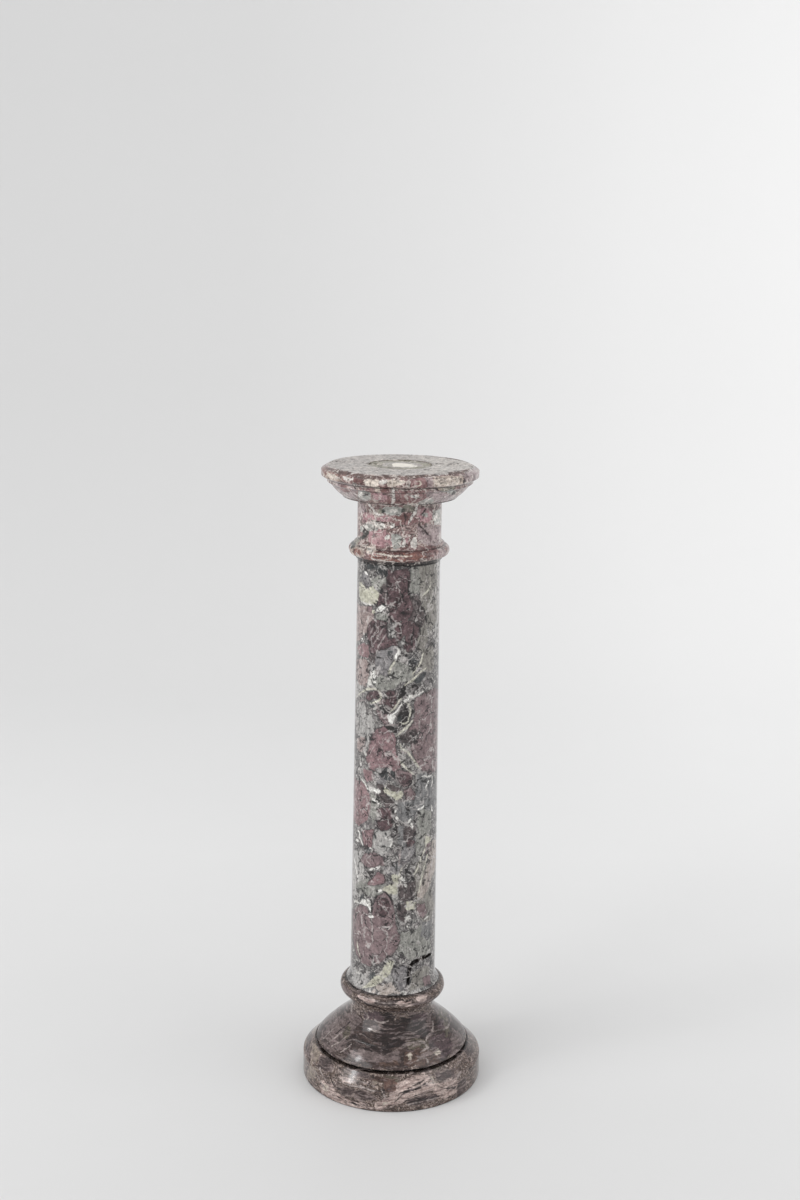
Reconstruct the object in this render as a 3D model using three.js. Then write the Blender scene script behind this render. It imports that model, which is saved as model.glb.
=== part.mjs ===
// Marble column: a turned pedestal of three marble blocks bedded one on the other.
// Millimetres, +Z up, origin on the floor at the middle of the underside.
// The base is one dark block, the shaft one tapered drum, the capital one block with
// its slab head, and a plaster fill closes the old hole in the top face.

import * as THREE from "three";

// Driving dimensions: how finely every piece is turned
const turnFacets = 48;
const curveSteps = 6;
const edgeSteps = 3;

// Driving dimensions: base block, from the floor up
const plinthRadius = 151.4;
const plinthFootRound = 2;
const plinthSideHeight = 36;
const plinthCornerHeight = 4.2;
const plinthCornerInset = 2.4;
const plinthBevelHeight = 17.8;
const plinthBevelInset = 17.6;
const quirkHeight = 3.4;
const quirkDepth = 9.5;
const bellRimRadius = 128.2;
const bellRimRound = 1.4;
const bellHeight = 28.4;
const bellTopRadius = 101.4;
const bellShoulderRadius = 122.2;
const bellShoulderHeight = 10.2;
const creaseHeight = 1.1;
const creaseDepth = 1;
const scotiaHeight = 37.4;
const scotiaSpringHeight = 22.4;
const throatRadius = 70.6;
const throatHeight = 11.6;
const baseFilletRadius = 73.4;
const baseFilletHeight = 8.8;
const baseRingRadius = 88.6;
const baseRingHeight = 20.8;
const baseRingDepth = 11.4;
const seatRadius = 79.3;
const seatHeight = 1.4;

// Driving dimensions: shaft
const shaftHeight = 728.6;
const shaftTopRadius = 66.6;
const shaftLowRadius = 71.8;
const shaftFootRadius = 78.6;
const shaftFlareHeight = 20.5;
const shaftFlareSpring = 9.5;
const shaftArris = 0.8;

// Driving dimensions: capital, from its bed up
const bedRadius = 69.4;
const bedBandHeight = 5;
const bedBandRadius = 71.4;
const astragalRadius = 81;
const astragalHeight = 18;
const astragalDepth = 9;
const upperFilletRadius = 72.4;
const upperFilletHeight = 3.6;
const upperFilletSlope = 3;
const neckRadius = 67.4;
const neckHeight = 59.9;
const coveRadius = 10;
const slabEdgeRadius = 91.6;
const slabEdgeHeight = 1.6;
const ovoloHeight = 19.6;
const ovoloTopRadius = 111.6;
const ovoloSwell = 0.1;
const bandRadius = 116.6;
const bandHeight = 4.2;
const bandStep = 2.6;
const rimUndercut = 5.8;
const rimRadius = 125.9;
const rimHeight = 9.4;
const shoulderHeight = 7.2;
const faceRadius = 113.6;
const shoulderSwell = 0.04;

// Driving dimensions: sunk seat in the top face and the plaster that closes its hole
const sunkRadius = 50;
const sunkDepth = 1;
const fillRadius = 20;
const fillDepth = 30;

// Clearance left between two pieces that meet
const beddingGap = 0.3;

const colours = {
  base: 0x5f5653,
  shaft: 0x8a7f7f,
  capital: 0x93827f,
  plaster: 0xe6e3da,
};

// A point of an outline: distance from the axis, then height.
function at(radius, height) {
  return new THREE.Vector2(radius, height);
}

// Points along a soft curve that leaves start towards pull and arrives at end from it.
function sweep(start, pull, end, steps = curveSteps) {
  return new THREE.QuadraticBezierCurve(start, pull, end).getPoints(steps);
}

// Points along a curve from start to end that swells out by a share of its own length.
function swell(start, end, share, steps = curveSteps) {
  const chord = end.clone().sub(start);
  const outward = at(chord.y, -chord.x);
  const pull = start.clone().add(end).multiplyScalar(0.5).add(outward.multiplyScalar(2 * share));
  return sweep(start, pull, end, steps);
}

// Points around a half round that starts at its lower end and stands out by depth.
function halfRound(innerRadius, depth, bottom, height, steps = 2 * curveSteps) {
  const points = [];
  for (let i = 0; i <= steps; i += 1) {
    const turn = Math.PI * (i / steps - 0.5);
    points.push(at(innerRadius + depth * Math.cos(turn), bottom + (height * (1 + Math.sin(turn))) / 2));
  }
  return points;
}

// A closed solid turned around the vertical axis from an outline of its outer surface.
function turned(name, outline, colour, roughness) {
  const geometry = new THREE.LatheGeometry(outline, turnFacets);
  geometry.rotateX(Math.PI / 2);
  const material = new THREE.MeshStandardMaterial({ color: colour, roughness, metalness: 0 });
  const mesh = new THREE.Mesh(geometry, material);
  mesh.name = name;
  return mesh;
}

// Base block: plinth, quirk, bell, hollow neck and ring, cut in one stone
function makeBase() {
  const bevelBottom = plinthSideHeight + plinthCornerHeight;
  const plinthTop = bevelBottom + plinthBevelHeight;
  const bevelRadius = plinthRadius - plinthCornerInset;
  const plinthTopRadius = bevelRadius - plinthBevelInset;
  const bellBottom = plinthTop + quirkHeight;
  const bellTop = bellBottom + bellHeight;
  const hollowBottom = bellTop + creaseHeight;
  const hollowFoot = bellTopRadius - creaseDepth;
  const throat = hollowBottom + scotiaHeight;
  const filletBottom = throat + throatHeight;
  const ringBottom = filletBottom + baseFilletHeight;
  const ringTop = ringBottom + baseRingHeight;
  const quirkFloor = plinthTopRadius - quirkDepth;
  const outline = [
    at(0, 0),
    at(plinthRadius - plinthFootRound, 0),
    ...sweep(
      at(plinthRadius - plinthFootRound, 0),
      at(plinthRadius, 0),
      at(plinthRadius, plinthFootRound),
      edgeSteps,
    ).slice(1),
    ...sweep(
      at(plinthRadius, plinthSideHeight),
      at(plinthRadius, bevelBottom - plinthCornerInset / 2),
      at(bevelRadius, bevelBottom),
      edgeSteps,
    ),
    at(plinthTopRadius, plinthTop),
    at(quirkFloor, plinthTop),
    at(quirkFloor, bellBottom),
    at(bellRimRadius - bellRimRound, bellBottom),
    ...sweep(
      at(bellRimRadius, bellBottom + bellRimRound),
      at(bellShoulderRadius, bellBottom + bellShoulderHeight),
      at(bellTopRadius, bellTop),
    ),
    at(hollowFoot, bellTop),
    ...sweep(
      at(hollowFoot, hollowBottom),
      at(throatRadius, hollowBottom + scotiaSpringHeight),
      at(throatRadius, throat),
    ),
    at(throatRadius, filletBottom),
    at(baseFilletRadius, filletBottom),
    ...halfRound(baseRingRadius - baseRingDepth, baseRingDepth, ringBottom, baseRingHeight),
    at(seatRadius, ringTop),
    at(seatRadius, ringTop + seatHeight),
    at(0, ringTop + seatHeight),
  ];
  return { mesh: turned("base", outline, colours.base, 0.35), top: ringTop + seatHeight };
}

// Shaft: one drum that narrows towards the top and flares out at its foot
function makeShaft(bottom) {
  const flareTop = bottom + shaftFlareHeight;
  const top = bottom + shaftHeight;
  const outline = [
    at(0, bottom),
    at(shaftFootRadius - shaftArris, bottom),
    ...sweep(
      at(shaftFootRadius, bottom + shaftArris),
      at(shaftLowRadius, bottom + shaftFlareSpring),
      at(shaftLowRadius, flareTop),
    ),
    at(shaftTopRadius, top - shaftArris),
    at(shaftTopRadius - shaftArris, top),
    at(0, top),
  ];
  return { mesh: turned("shaft", outline, colours.shaft, 0.3), top };
}

// Capital: bead ring, neck and moulded slab head in one stone, with the sunk seat on top
function makeCapital(bottom) {
  const ringBottom = bottom + bedBandHeight;
  const ringTop = ringBottom + astragalHeight;
  const filletTop = ringTop + upperFilletHeight;
  const neckBottom = filletTop + upperFilletSlope;
  const coveBottom = neckBottom + neckHeight;
  const slabBottom = coveBottom + coveRadius;
  const ovoloBottom = slabBottom + slabEdgeHeight;
  const ovoloTop = ovoloBottom + ovoloHeight;
  const bandBottom = ovoloTop + bandStep;
  const bandTop = bandBottom + bandHeight;
  const rimBottom = bandTop + rimUndercut;
  const rimTop = rimBottom + rimHeight;
  const face = rimTop + shoulderHeight;
  const sunkFloor = face - sunkDepth;
  const holeRadius = fillRadius + beddingGap;
  const holeFloor = sunkFloor - fillDepth - beddingGap;
  const outline = [
    at(0, bottom),
    at(bedRadius, bottom),
    at(bedBandRadius, ringBottom),
    ...halfRound(astragalRadius - astragalDepth, astragalDepth, ringBottom, astragalHeight),
    at(upperFilletRadius, ringTop),
    at(upperFilletRadius, filletTop),
    at(neckRadius, neckBottom),
    ...sweep(
      at(neckRadius, coveBottom),
      at(neckRadius, slabBottom),
      at(neckRadius + coveRadius, slabBottom),
      edgeSteps,
    ),
    at(slabEdgeRadius, slabBottom),
    ...swell(at(slabEdgeRadius, ovoloBottom), at(ovoloTopRadius, ovoloTop), ovoloSwell),
    at(bandRadius, bandBottom),
    at(bandRadius, bandTop),
    at(rimRadius, rimBottom),
    ...swell(at(rimRadius, rimTop), at(faceRadius, face), shoulderSwell, edgeSteps),
    at(sunkRadius, face),
    at(sunkRadius, sunkFloor),
    at(holeRadius, sunkFloor),
    at(holeRadius, holeFloor),
    at(0, holeFloor),
  ];
  return { mesh: turned("capital", outline, colours.capital, 0.35), sunkFloor };
}

// Plaster fill: a plug set level with the floor of the sunk seat
function makeFill(top) {
  const bottom = top - fillDepth;
  const outline = [at(0, bottom), at(fillRadius, bottom), at(fillRadius, top), at(0, top)];
  return { mesh: turned("plaster_fill", outline, colours.plaster, 0.8) };
}

const base = makeBase();
const shaft = makeShaft(base.top + beddingGap);
const capital = makeCapital(shaft.top + beddingGap);
const fill = makeFill(capital.sunkFloor);

const column = new THREE.Group();
column.add(base.mesh, shaft.mesh, capital.mesh, fill.mesh);

export default column;
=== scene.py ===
import math

import bpy
import numpy as np
from mathutils import Matrix


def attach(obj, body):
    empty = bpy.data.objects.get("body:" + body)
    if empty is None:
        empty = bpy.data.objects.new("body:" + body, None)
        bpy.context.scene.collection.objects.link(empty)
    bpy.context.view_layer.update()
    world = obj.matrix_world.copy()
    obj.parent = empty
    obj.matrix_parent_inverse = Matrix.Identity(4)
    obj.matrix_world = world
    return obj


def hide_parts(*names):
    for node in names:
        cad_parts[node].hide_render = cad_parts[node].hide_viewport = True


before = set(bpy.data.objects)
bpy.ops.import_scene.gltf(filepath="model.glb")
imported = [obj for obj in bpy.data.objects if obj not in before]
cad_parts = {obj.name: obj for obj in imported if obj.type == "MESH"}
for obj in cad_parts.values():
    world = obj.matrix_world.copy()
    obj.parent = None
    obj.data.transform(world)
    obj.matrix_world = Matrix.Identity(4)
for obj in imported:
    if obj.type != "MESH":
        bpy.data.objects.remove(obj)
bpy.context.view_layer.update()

# Camera: a 50 mm lens on a full frame held upright, 2.63 m away and 1.44 m up, tilted down
# by 13 degrees and rolled by just under one. It comes first, because the veins and broken
# pieces of the stone below are placed by where the photograph shows them.
photo_width, photo_height = 800, 1200
lens_length = 50
sensor_length = 36
focal_pixels = lens_length / sensor_length * photo_height
camera_spot = (0.00275, -2.6283, 1.435)
camera_tilt = 12.99
camera_roll = 0.0158
far_limit = 60
camera_data = bpy.data.cameras.new("camera")
camera_data.lens = lens_length
camera_data.sensor_width = sensor_length
camera_data.clip_end = far_limit
camera = bpy.data.objects.new("camera", camera_data)
camera.matrix_world = (Matrix.Translation(camera_spot)
                       @ Matrix.Rotation(math.radians(90 - camera_tilt), 4, "X")
                       @ Matrix.Rotation(camera_roll, 4, "Z"))
bpy.context.scene.collection.objects.link(camera)
bpy.context.scene.camera = camera
bpy.context.scene.view_settings.view_transform = "Standard"

# Base: one block of dark brown-violet breccia marble, turned to a plinth, a bell, a hollow
# neck and a bead ring, then polished. The bell is undercut by a sawn quirk, and every
# arris has worn soft. It is the bottom block, and the shaft is bedded on it.
mm = 0.001
outside = -9.0  # what a field of a pattern holds far from every shape in it, in mm
tiny = 1e-9


def linear(colour):
    """A colour given as sRGB hex, turned to linear light: c / 12.92 in the darks, and
    ((c + 0.055) / 1.055) to the power 2.4 above them."""
    share = np.array([int(colour[i:i + 2], 16) for i in (0, 2, 4)]) / 255
    light = np.where(share <= 0.04045, share / 12.92, ((share + 0.055) / 1.055) ** 2.4)
    return tuple(float(v) for v in light) + (1.0,)


def worn_outline(strokes, wear, spacing, bed_spacing=12, per_turn=3.5):
    """Points (radius, height) in mm along an outline whose corners have worn round.

    The outline starts at the first point. A point then draws a straight to itself, and a
    pair of points b, c draws the quadratic curve (1-t)^2 a + 2t(1-t) b + t^2 c from the
    point a reached so far. The joined line is averaged over a bell-shaped window of
    width wear, which rounds its corners, and is then cut into rows: one for each spacing
    of length, and per_turn more for each radian that it turns. The flats that it starts and
    ends with lie in a bed against another piece, unseen, so their rows are bed_spacing
    apart. Both ends stay on the axis."""
    points_per_stroke, step, half_window, flat = 200, 0.1, 40, 0.02
    t = np.linspace(0, 1, points_per_stroke)[:, None]
    parts = []
    reached = np.array(strokes[0], float)
    for stroke in strokes[1:]:
        ends = np.array(stroke, float)
        if ends.ndim == 1:
            parts.append(reached + t * (ends - reached))
            reached = ends
        else:
            parts.append((1 - t) ** 2 * reached + 2 * t * (1 - t) * ends[0] + t ** 2 * ends[1])
            reached = ends[1]
    line = np.concatenate(parts)
    length = np.concatenate([[0], np.cumsum(np.hypot(*np.diff(line, axis=0).T))])
    even = np.arange(0, length[-1] + step, step)
    line = np.stack([np.interp(even, length, line[:, k]) for k in (0, 1)], 1)
    bell = np.exp(-0.5 * (np.arange(-half_window, half_window + 1) * step / wear) ** 2)
    bell = bell / bell.sum()
    padded = [np.pad(line[:, k], half_window, mode="reflect", reflect_type="odd") for k in (0, 1)]
    line = np.stack([np.convolve(row, bell, "valid") for row in padded], 1)
    heading = np.unwrap(np.arctan2(*np.gradient(line, axis=0).T[::-1]))
    from_beds = np.abs(line[:, 1:] - (strokes[0][1], strokes[-1][1])).min(1)
    row_spacing = np.where(from_beds < flat, bed_spacing, spacing)
    rows = np.cumsum(step / row_spacing + np.abs(np.gradient(heading)) * per_turn)
    pick = np.interp(np.linspace(rows[0], rows[-1], int(rows[-1])), rows, np.arange(len(even)))
    line = np.stack([np.interp(pick, np.arange(len(even)), line[:, k]) for k in (0, 1)], 1)
    line[[0, -1], 0] = 0
    return line


def swell(points, size, seed):
    """Seeded noise at points in mm: the sum of plane waves of random direction and phase,
    with wavelengths about size, over the root of their count, so mostly between -1 and 1."""
    count = 28
    draw = np.random.default_rng(seed)
    waves = draw.normal(size=(count, 3))
    wavelengths = size * draw.uniform(0.6, 1.6, count)
    waves *= (2 * np.pi / wavelengths / np.linalg.norm(waves, axis=1))[:, None]
    return np.sin(points @ waves.T + draw.uniform(0, 2 * np.pi, count)).sum(-1) / math.sqrt(count)


def turned_stone(outline, around, dents=(), unevenness=0.12, seed=1):
    """The outline turned around the axis, as a grid of rows by angles, with what the
    patterns need: point (i, j) is (r sin a, -r cos a, z) for angle a = 2 pi j / around, so
    angle 0 faces the viewer. Each point is then sunk along its inward normal, by a slight
    unevenness and by dents, so that nothing stands proud of the turned solid.

    A dent is (degrees, height, half width, half height, depth): a broken hollow of that
    depth in mm whose edge and floor are roughened by noise."""
    ripple_size, edge_grain, floor_grain = 45, 7, 3
    angle = np.linspace(0, 2 * np.pi, around, endpoint=False)
    radius, height = outline[:, :1], outline[:, 1:]
    x, y = radius * np.sin(angle), -radius * np.cos(angle)
    points = np.stack([x, y, np.broadcast_to(height, x.shape)], -1)
    along = np.gradient(outline, axis=0)
    along /= np.maximum(np.linalg.norm(along, axis=1, keepdims=True), tiny)
    out_r, out_z = along[:, 1:], -along[:, :1]
    out = np.stack([out_r * np.sin(angle), -out_r * np.cos(angle), np.broadcast_to(out_z, x.shape)], -1)
    sink = unevenness * (0.5 + 0.5 * np.clip(swell(points, ripple_size, seed), -1, 1))
    for degrees, level, wide, tall, depth in dents:
        turn = (np.degrees(angle) - degrees + 180) % 360 - 180
        across = np.radians(turn) * np.maximum(radius, 1) / wide
        reach = np.hypot(across, (height - level) / tall) + 0.3 * swell(points, edge_grain, seed + 1)
        broken = 0.8 + 0.2 * swell(points, floor_grain, seed + 2)
        sink = np.maximum(sink, depth * np.clip(1.3 * (1 - reach), 0, 1) * broken)
    return {"points": points - out * sink[..., None], "out": out, "radius": radius, "height": height,
            "length": np.concatenate([[0], np.cumsum(np.hypot(*np.diff(outline, axis=0).T))])[:, None],
            "degrees": (np.degrees(angle) + 180) % 360 - 180}


def put_piece(name, stone, fields, material):
    """Makes the mesh of a turned grid: a square face between neighbours, a fan of triangles
    at each pole, and one attribute for each field of the pattern."""
    points = stone["points"]
    rows, around = points.shape[:2]
    ring = np.arange(around)
    after = (ring + 1) % around
    first = 1 + (np.arange(rows - 2) * around)[:, None]
    low, high = first[:-1], first[1:]
    squares = np.stack([low + ring, low + after, high + after, high + ring], -1).reshape(-1, 4)
    top = 1 + (rows - 2) * around
    start, finish = np.zeros(around, int), np.full(around, top)
    fans = np.concatenate([np.stack([start, 1 + after, 1 + ring], 1),
                           np.stack([first[-1] + ring, first[-1] + after, finish], 1)])
    vertices = np.concatenate([points[0, :1], points[1:-1].reshape(-1, 3), points[-1, :1]]) * mm
    mesh = bpy.data.meshes.new(name)
    mesh.from_pydata(vertices.tolist(), [], squares.tolist() + fans.tolist())
    mesh.shade_smooth()
    for field, values in fields.items():
        flat = np.concatenate([values[0, :1], values[1:-1].ravel(), values[-1, :1]])
        mesh.attributes.new(field, "FLOAT", "POINT").data.foreach_set("value", flat.astype(np.float32))
    mesh.materials.append(material)
    piece = bpy.data.objects.new(name, mesh)
    bpy.context.scene.collection.objects.link(piece)
    return piece


def stone_sheet(stone, warp, seed):
    """The surface laid flat, as degrees and mm of length along the outline, both pushed
    about by noise of two sizes so that drawn shapes get the uneven edges of broken stone.
    It also holds where each point of the near side is seen in the photograph."""
    wide_waves, small_waves, small_share = 34, 11, 0.45
    least_radius = 8
    grazing = 0.04
    points = stone["points"]
    push = [swell(points, wide_waves, seed + k) * warp
            + swell(points, small_waves, seed + 3 + k) * warp * small_share for k in (0, 1)]
    degrees = stone["degrees"] + np.degrees(push[0] / np.maximum(stone["radius"], least_radius))
    seen, towards = as_seen(points)
    near_side = (stone["out"] * towards).sum(-1) > grazing
    grid = np.broadcast_to(stone["length"], near_side.shape)
    turns = np.broadcast_to(stone["degrees"], near_side.shape)
    return {"degrees": degrees, "length": stone["length"] + push[1], "radius": stone["radius"],
            "outline_length": stone["length"][:, 0], "seen": seen[near_side],
            "seen_far": np.linalg.norm(towards, axis=-1)[near_side],
            "seen_degrees": turns[near_side], "seen_length": grid[near_side]}


def as_seen(points):
    """Where points in mm fall in the photograph, in its pixels, and the way from each of
    them to the lens, in metres. A pinhole at camera_spot looks level along y, is then
    dipped by camera_tilt and rolled, and sizes shrink with the depth along its axis."""
    from_lens = points * mm - np.array(camera_spot)
    dip, roll = math.radians(camera_tilt), camera_roll
    depth = from_lens[..., 1] * math.cos(dip) - from_lens[..., 2] * math.sin(dip)
    right = from_lens[..., 0] / depth * focal_pixels
    down = -(from_lens[..., 1] * math.sin(dip) + from_lens[..., 2] * math.cos(dip)) / depth * focal_pixels
    x = photo_width / 2 + right * math.cos(roll) - down * math.sin(roll)
    y = photo_height / 2 + right * math.sin(roll) + down * math.cos(roll)
    return np.stack([x, y], -1), -from_lens


def place(sheet, spots):
    """Spots given by their pixels in the photograph, as degrees and length along the
    outline: each takes the point of the near side that is seen closest to that pixel. A
    point 0.1 m farther from the lens counts as 1.7 pixels off, so that nothing is placed
    on stone that is hidden behind other stone."""
    farness_cost = 30
    hidden = farness_cost * sheet["seen_far"]
    pick = [np.argmin(((sheet["seen"] - spot) ** 2).sum(-1) + hidden) for spot in np.array(spots, float)]
    return np.stack([sheet["seen_degrees"][pick], sheet["seen_length"][pick]], 1)


def near(sheet, middle, reach):
    """Which points lie within reach mm of a middle, and their offsets from it in mm."""
    turn = (sheet["degrees"] - middle[0] + 180) % 360 - 180
    across = np.radians(turn) * sheet["radius"]
    up = sheet["length"] - middle[1]
    close = (np.abs(across) < reach) & (np.abs(up) < reach)
    return close, across[close], up[close], np.broadcast_to(sheet["radius"], turn.shape)[close]


def patch(sheet, field, corners):
    """Joins a many-sided patch to a field. The field holds, in mm, the distance to the
    patch's edge, above zero inside and below zero outside."""
    middle = corners.mean(0)
    edge = corners - middle
    local = np.median(np.interp(corners[:, 1], sheet["outline_length"], sheet["radius"][:, 0]))
    reach = np.hypot(np.radians(edge[:, 0]) * local, edge[:, 1]).max() * 1.4 - outside
    close, x, y, radius = near(sheet, middle, reach)
    inside = np.zeros(x.shape, bool)
    distance = np.full(x.shape, np.inf)
    for a, b in zip(edge, np.roll(edge, -1, axis=0)):
        ax, bx = np.radians(a[0]) * radius, np.radians(b[0]) * radius
        dx, dy = bx - ax, b[1] - a[1]
        t = np.clip(((x - ax) * dx + (y - a[1]) * dy) / (dx * dx + dy * dy + tiny), 0, 1)
        distance = np.minimum(distance, np.hypot(x - ax - t * dx, y - a[1] - t * dy))
        crosses = (a[1] > y) != (b[1] > y)
        inside ^= crosses & (x < ax + dx * (y - a[1]) / (dy or tiny))
    field[close] = np.maximum(field[close], np.where(inside, distance, -distance))


def vein(sheet, field, width, course):
    """Joins a vein to a field in the same measure: a line along the spots of its course,
    with every corner cut off twice so that it curves, width mm wide in the middle and
    thinning to a third at both ends, as a half wave of the sine."""
    for _ in range(2):
        early, late = course[:-1] * 0.75 + course[1:] * 0.25, course[:-1] * 0.25 + course[1:] * 0.75
        course = np.concatenate([course[:1], np.stack([early, late], 1).reshape(-1, 2), course[-1:]])
    middle = course.mean(0)
    line = course - middle
    local = np.median(np.interp(course[:, 1], sheet["outline_length"], sheet["radius"][:, 0]))
    reach = np.hypot(np.radians(line[:, 0]) * local, line[:, 1]).max() * 1.2 + width + 6
    close, x, y, radius = near(sheet, middle, reach)
    best = np.full(x.shape, -np.inf)
    legs = len(line) - 1
    for k in range(legs):
        a, b = line[k], line[k + 1]
        ax, bx = np.radians(a[0]) * radius, np.radians(b[0]) * radius
        dx, dy = bx - ax, b[1] - a[1]
        t = np.clip(((x - ax) * dx + (y - a[1]) * dy) / (dx * dx + dy * dy + tiny), 0, 1)
        swelling = 0.33 + 0.67 * np.sin(np.pi * np.clip((k + t) / legs, 0, 1))
        best = np.maximum(best, width / 2 * swelling - np.hypot(x - ax - t * dx, y - a[1] - t * dy))
    field[close] = np.maximum(field[close], best)


def fields_of(sheet, patches, veins, upside_down):
    """One field for each kind of patch and vein. What the photograph shows is drawn once
    more on the hidden side, turned half round, and mirrored or turned upside down."""
    whole = sheet["outline_length"][-1]
    fields = {}
    for kind in {**patches, **veins}:
        field = np.full(sheet["degrees"].shape, outside)
        shapes = [(patch, (), spots) for spots in patches.get(kind, ())]
        shapes += [(vein, (width,), spots) for width, *spots in veins.get(kind, ())]
        for draw, size, spots in shapes:
            spots = place(sheet, spots)
            draw(sheet, field, *size, spots)
            spots = spots * (1, -1) + (180, whole) if upside_down else spots * (-1, 1) + (180, 0)
            draw(sheet, field, *size, spots)
        fields[kind] = field
    return fields


def add(tree, kind, inputs=(), **settings):
    """Adds one node with its settings. Each input is given a value, or joined to an output."""
    node = tree.nodes.new("ShaderNode" + kind)
    for name, value in settings.items():
        setattr(node, name, value)
    for key, value in inputs.items() if isinstance(inputs, dict) else enumerate(inputs):
        if isinstance(value, bpy.types.NodeSocket):
            tree.links.new(value, node.inputs[key])
        else:
            node.inputs[key].default_value = value
    return node


def grain(tree, where, size, detail=5.0, roughness=0.55):
    """Cloudy noise from 0 to 1 whose patches are about size mm across."""
    return add(tree, "TexNoise", {"Vector": where, "Scale": 1 / (size * mm), "Detail": detail,
                                  "Roughness": roughness}).outputs[0]


def between(tree, value, low, high, start=0.0, stop=1.0):
    """Turns value from the span low..high to the span start..stop, held at both ends."""
    return add(tree, "MapRange", [value, low, high, start, stop]).outputs[0]


def blend(tree, share, under, over):
    """Lays one colour over another by a share from 0 to 1. The numbers are those of the
    node's colour sockets, which share their names with its sockets for other kinds."""
    return add(tree, "Mix", {0: share, 6: under, 7: over}, data_type="RGBA").outputs[2]


def stir(tree, where, size, reach):
    """Coordinates pushed about by up to reach mm, in patches of about size mm. The noise
    lies mostly within a quarter of its middle, so four times that quarter is the reach."""
    quarters = 4
    push = add(tree, "TexNoise", {"Vector": where, "Scale": 1 / (size * mm), "Detail": 4.0}).outputs["Color"]
    push = add(tree, "VectorMath", [push, (0.5, 0.5, 0.5)], operation="SUBTRACT").outputs[0]
    push = add(tree, "VectorMath", {0: push, "Scale": reach * quarters * mm}, operation="SCALE").outputs[0]
    return add(tree, "VectorMath", [where, push], operation="ADD").outputs[0]


def crumble(tree, where, size, tones):
    """Broken crumbs of about size mm, each of one tone of a list picked by chance."""
    cells = add(tree, "TexVoronoi", {"Vector": where, "Scale": 1 / (size * mm)})
    pick = add(tree, "SeparateColor", [cells.outputs["Color"]]).outputs[0]
    ramp = add(tree, "ValToRGB", [pick])
    stops = ramp.color_ramp.elements
    ramp.color_ramp.interpolation = "CONSTANT"
    for k, tone in enumerate(tones):
        stop = stops[k] if k < 2 else stops.new(k / len(tones))
        stop.position = k / len(tones)
        stop.color = linear(tone)
    return ramp.outputs[0]


def threads(tree, where, size, width, share, seed):
    """Curving hairlines about width mm wide: where noise with patches of size mm passes
    through its middle. They are broken off at random so that only a share is left. Each
    seed reads the noise some metres away, so that no two sets run alike."""
    moved = add(tree, "VectorMath", [where, (seed, seed * 0.7, seed * 1.3)], operation="ADD").outputs[0]
    off = add(tree, "Math", [grain(tree, moved, size, detail=3, roughness=0.45), 0.5], operation="SUBTRACT")
    off = add(tree, "Math", [off.outputs[0]], operation="ABSOLUTE").outputs[0]
    line = between(tree, off, low=0.2 * width / size, high=0.6 * width / size, start=1.0, stop=0.0)
    cut = 0.62 - 0.3 * share
    left = between(tree, grain(tree, moved, 0.8 * size, detail=2), low=cut, high=cut + 0.06)
    return add(tree, "Math", [line, left], operation="MULTIPLY").outputs[0]


def oval(x, y, wide, tall, lean=0):
    """Eight corners of an oval with its middle, half width and half height in pixels of
    the photograph, leaning by some degrees."""
    turn = np.arange(8) * np.pi / 4
    tilt = math.radians(lean)
    across, up = wide * np.cos(turn), tall * np.sin(turn)
    return np.stack([x + across * math.cos(tilt) - up * math.sin(tilt),
                     y + across * math.sin(tilt) + up * math.cos(tilt)], 1)


def rings(stone, levels):
    """A field of level rings, given by their height and half width in mm. The flat middle
    of a block's underside and top stays out of it."""
    flat_middle = 50
    field = np.full(stone["height"].shape, outside)
    for level, half in levels:
        field = np.maximum(field, half - np.abs(stone["height"] - level))
    field = np.where(stone["radius"] > flat_middle, field, outside)
    return np.broadcast_to(field, stone["points"].shape[:2])


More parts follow.
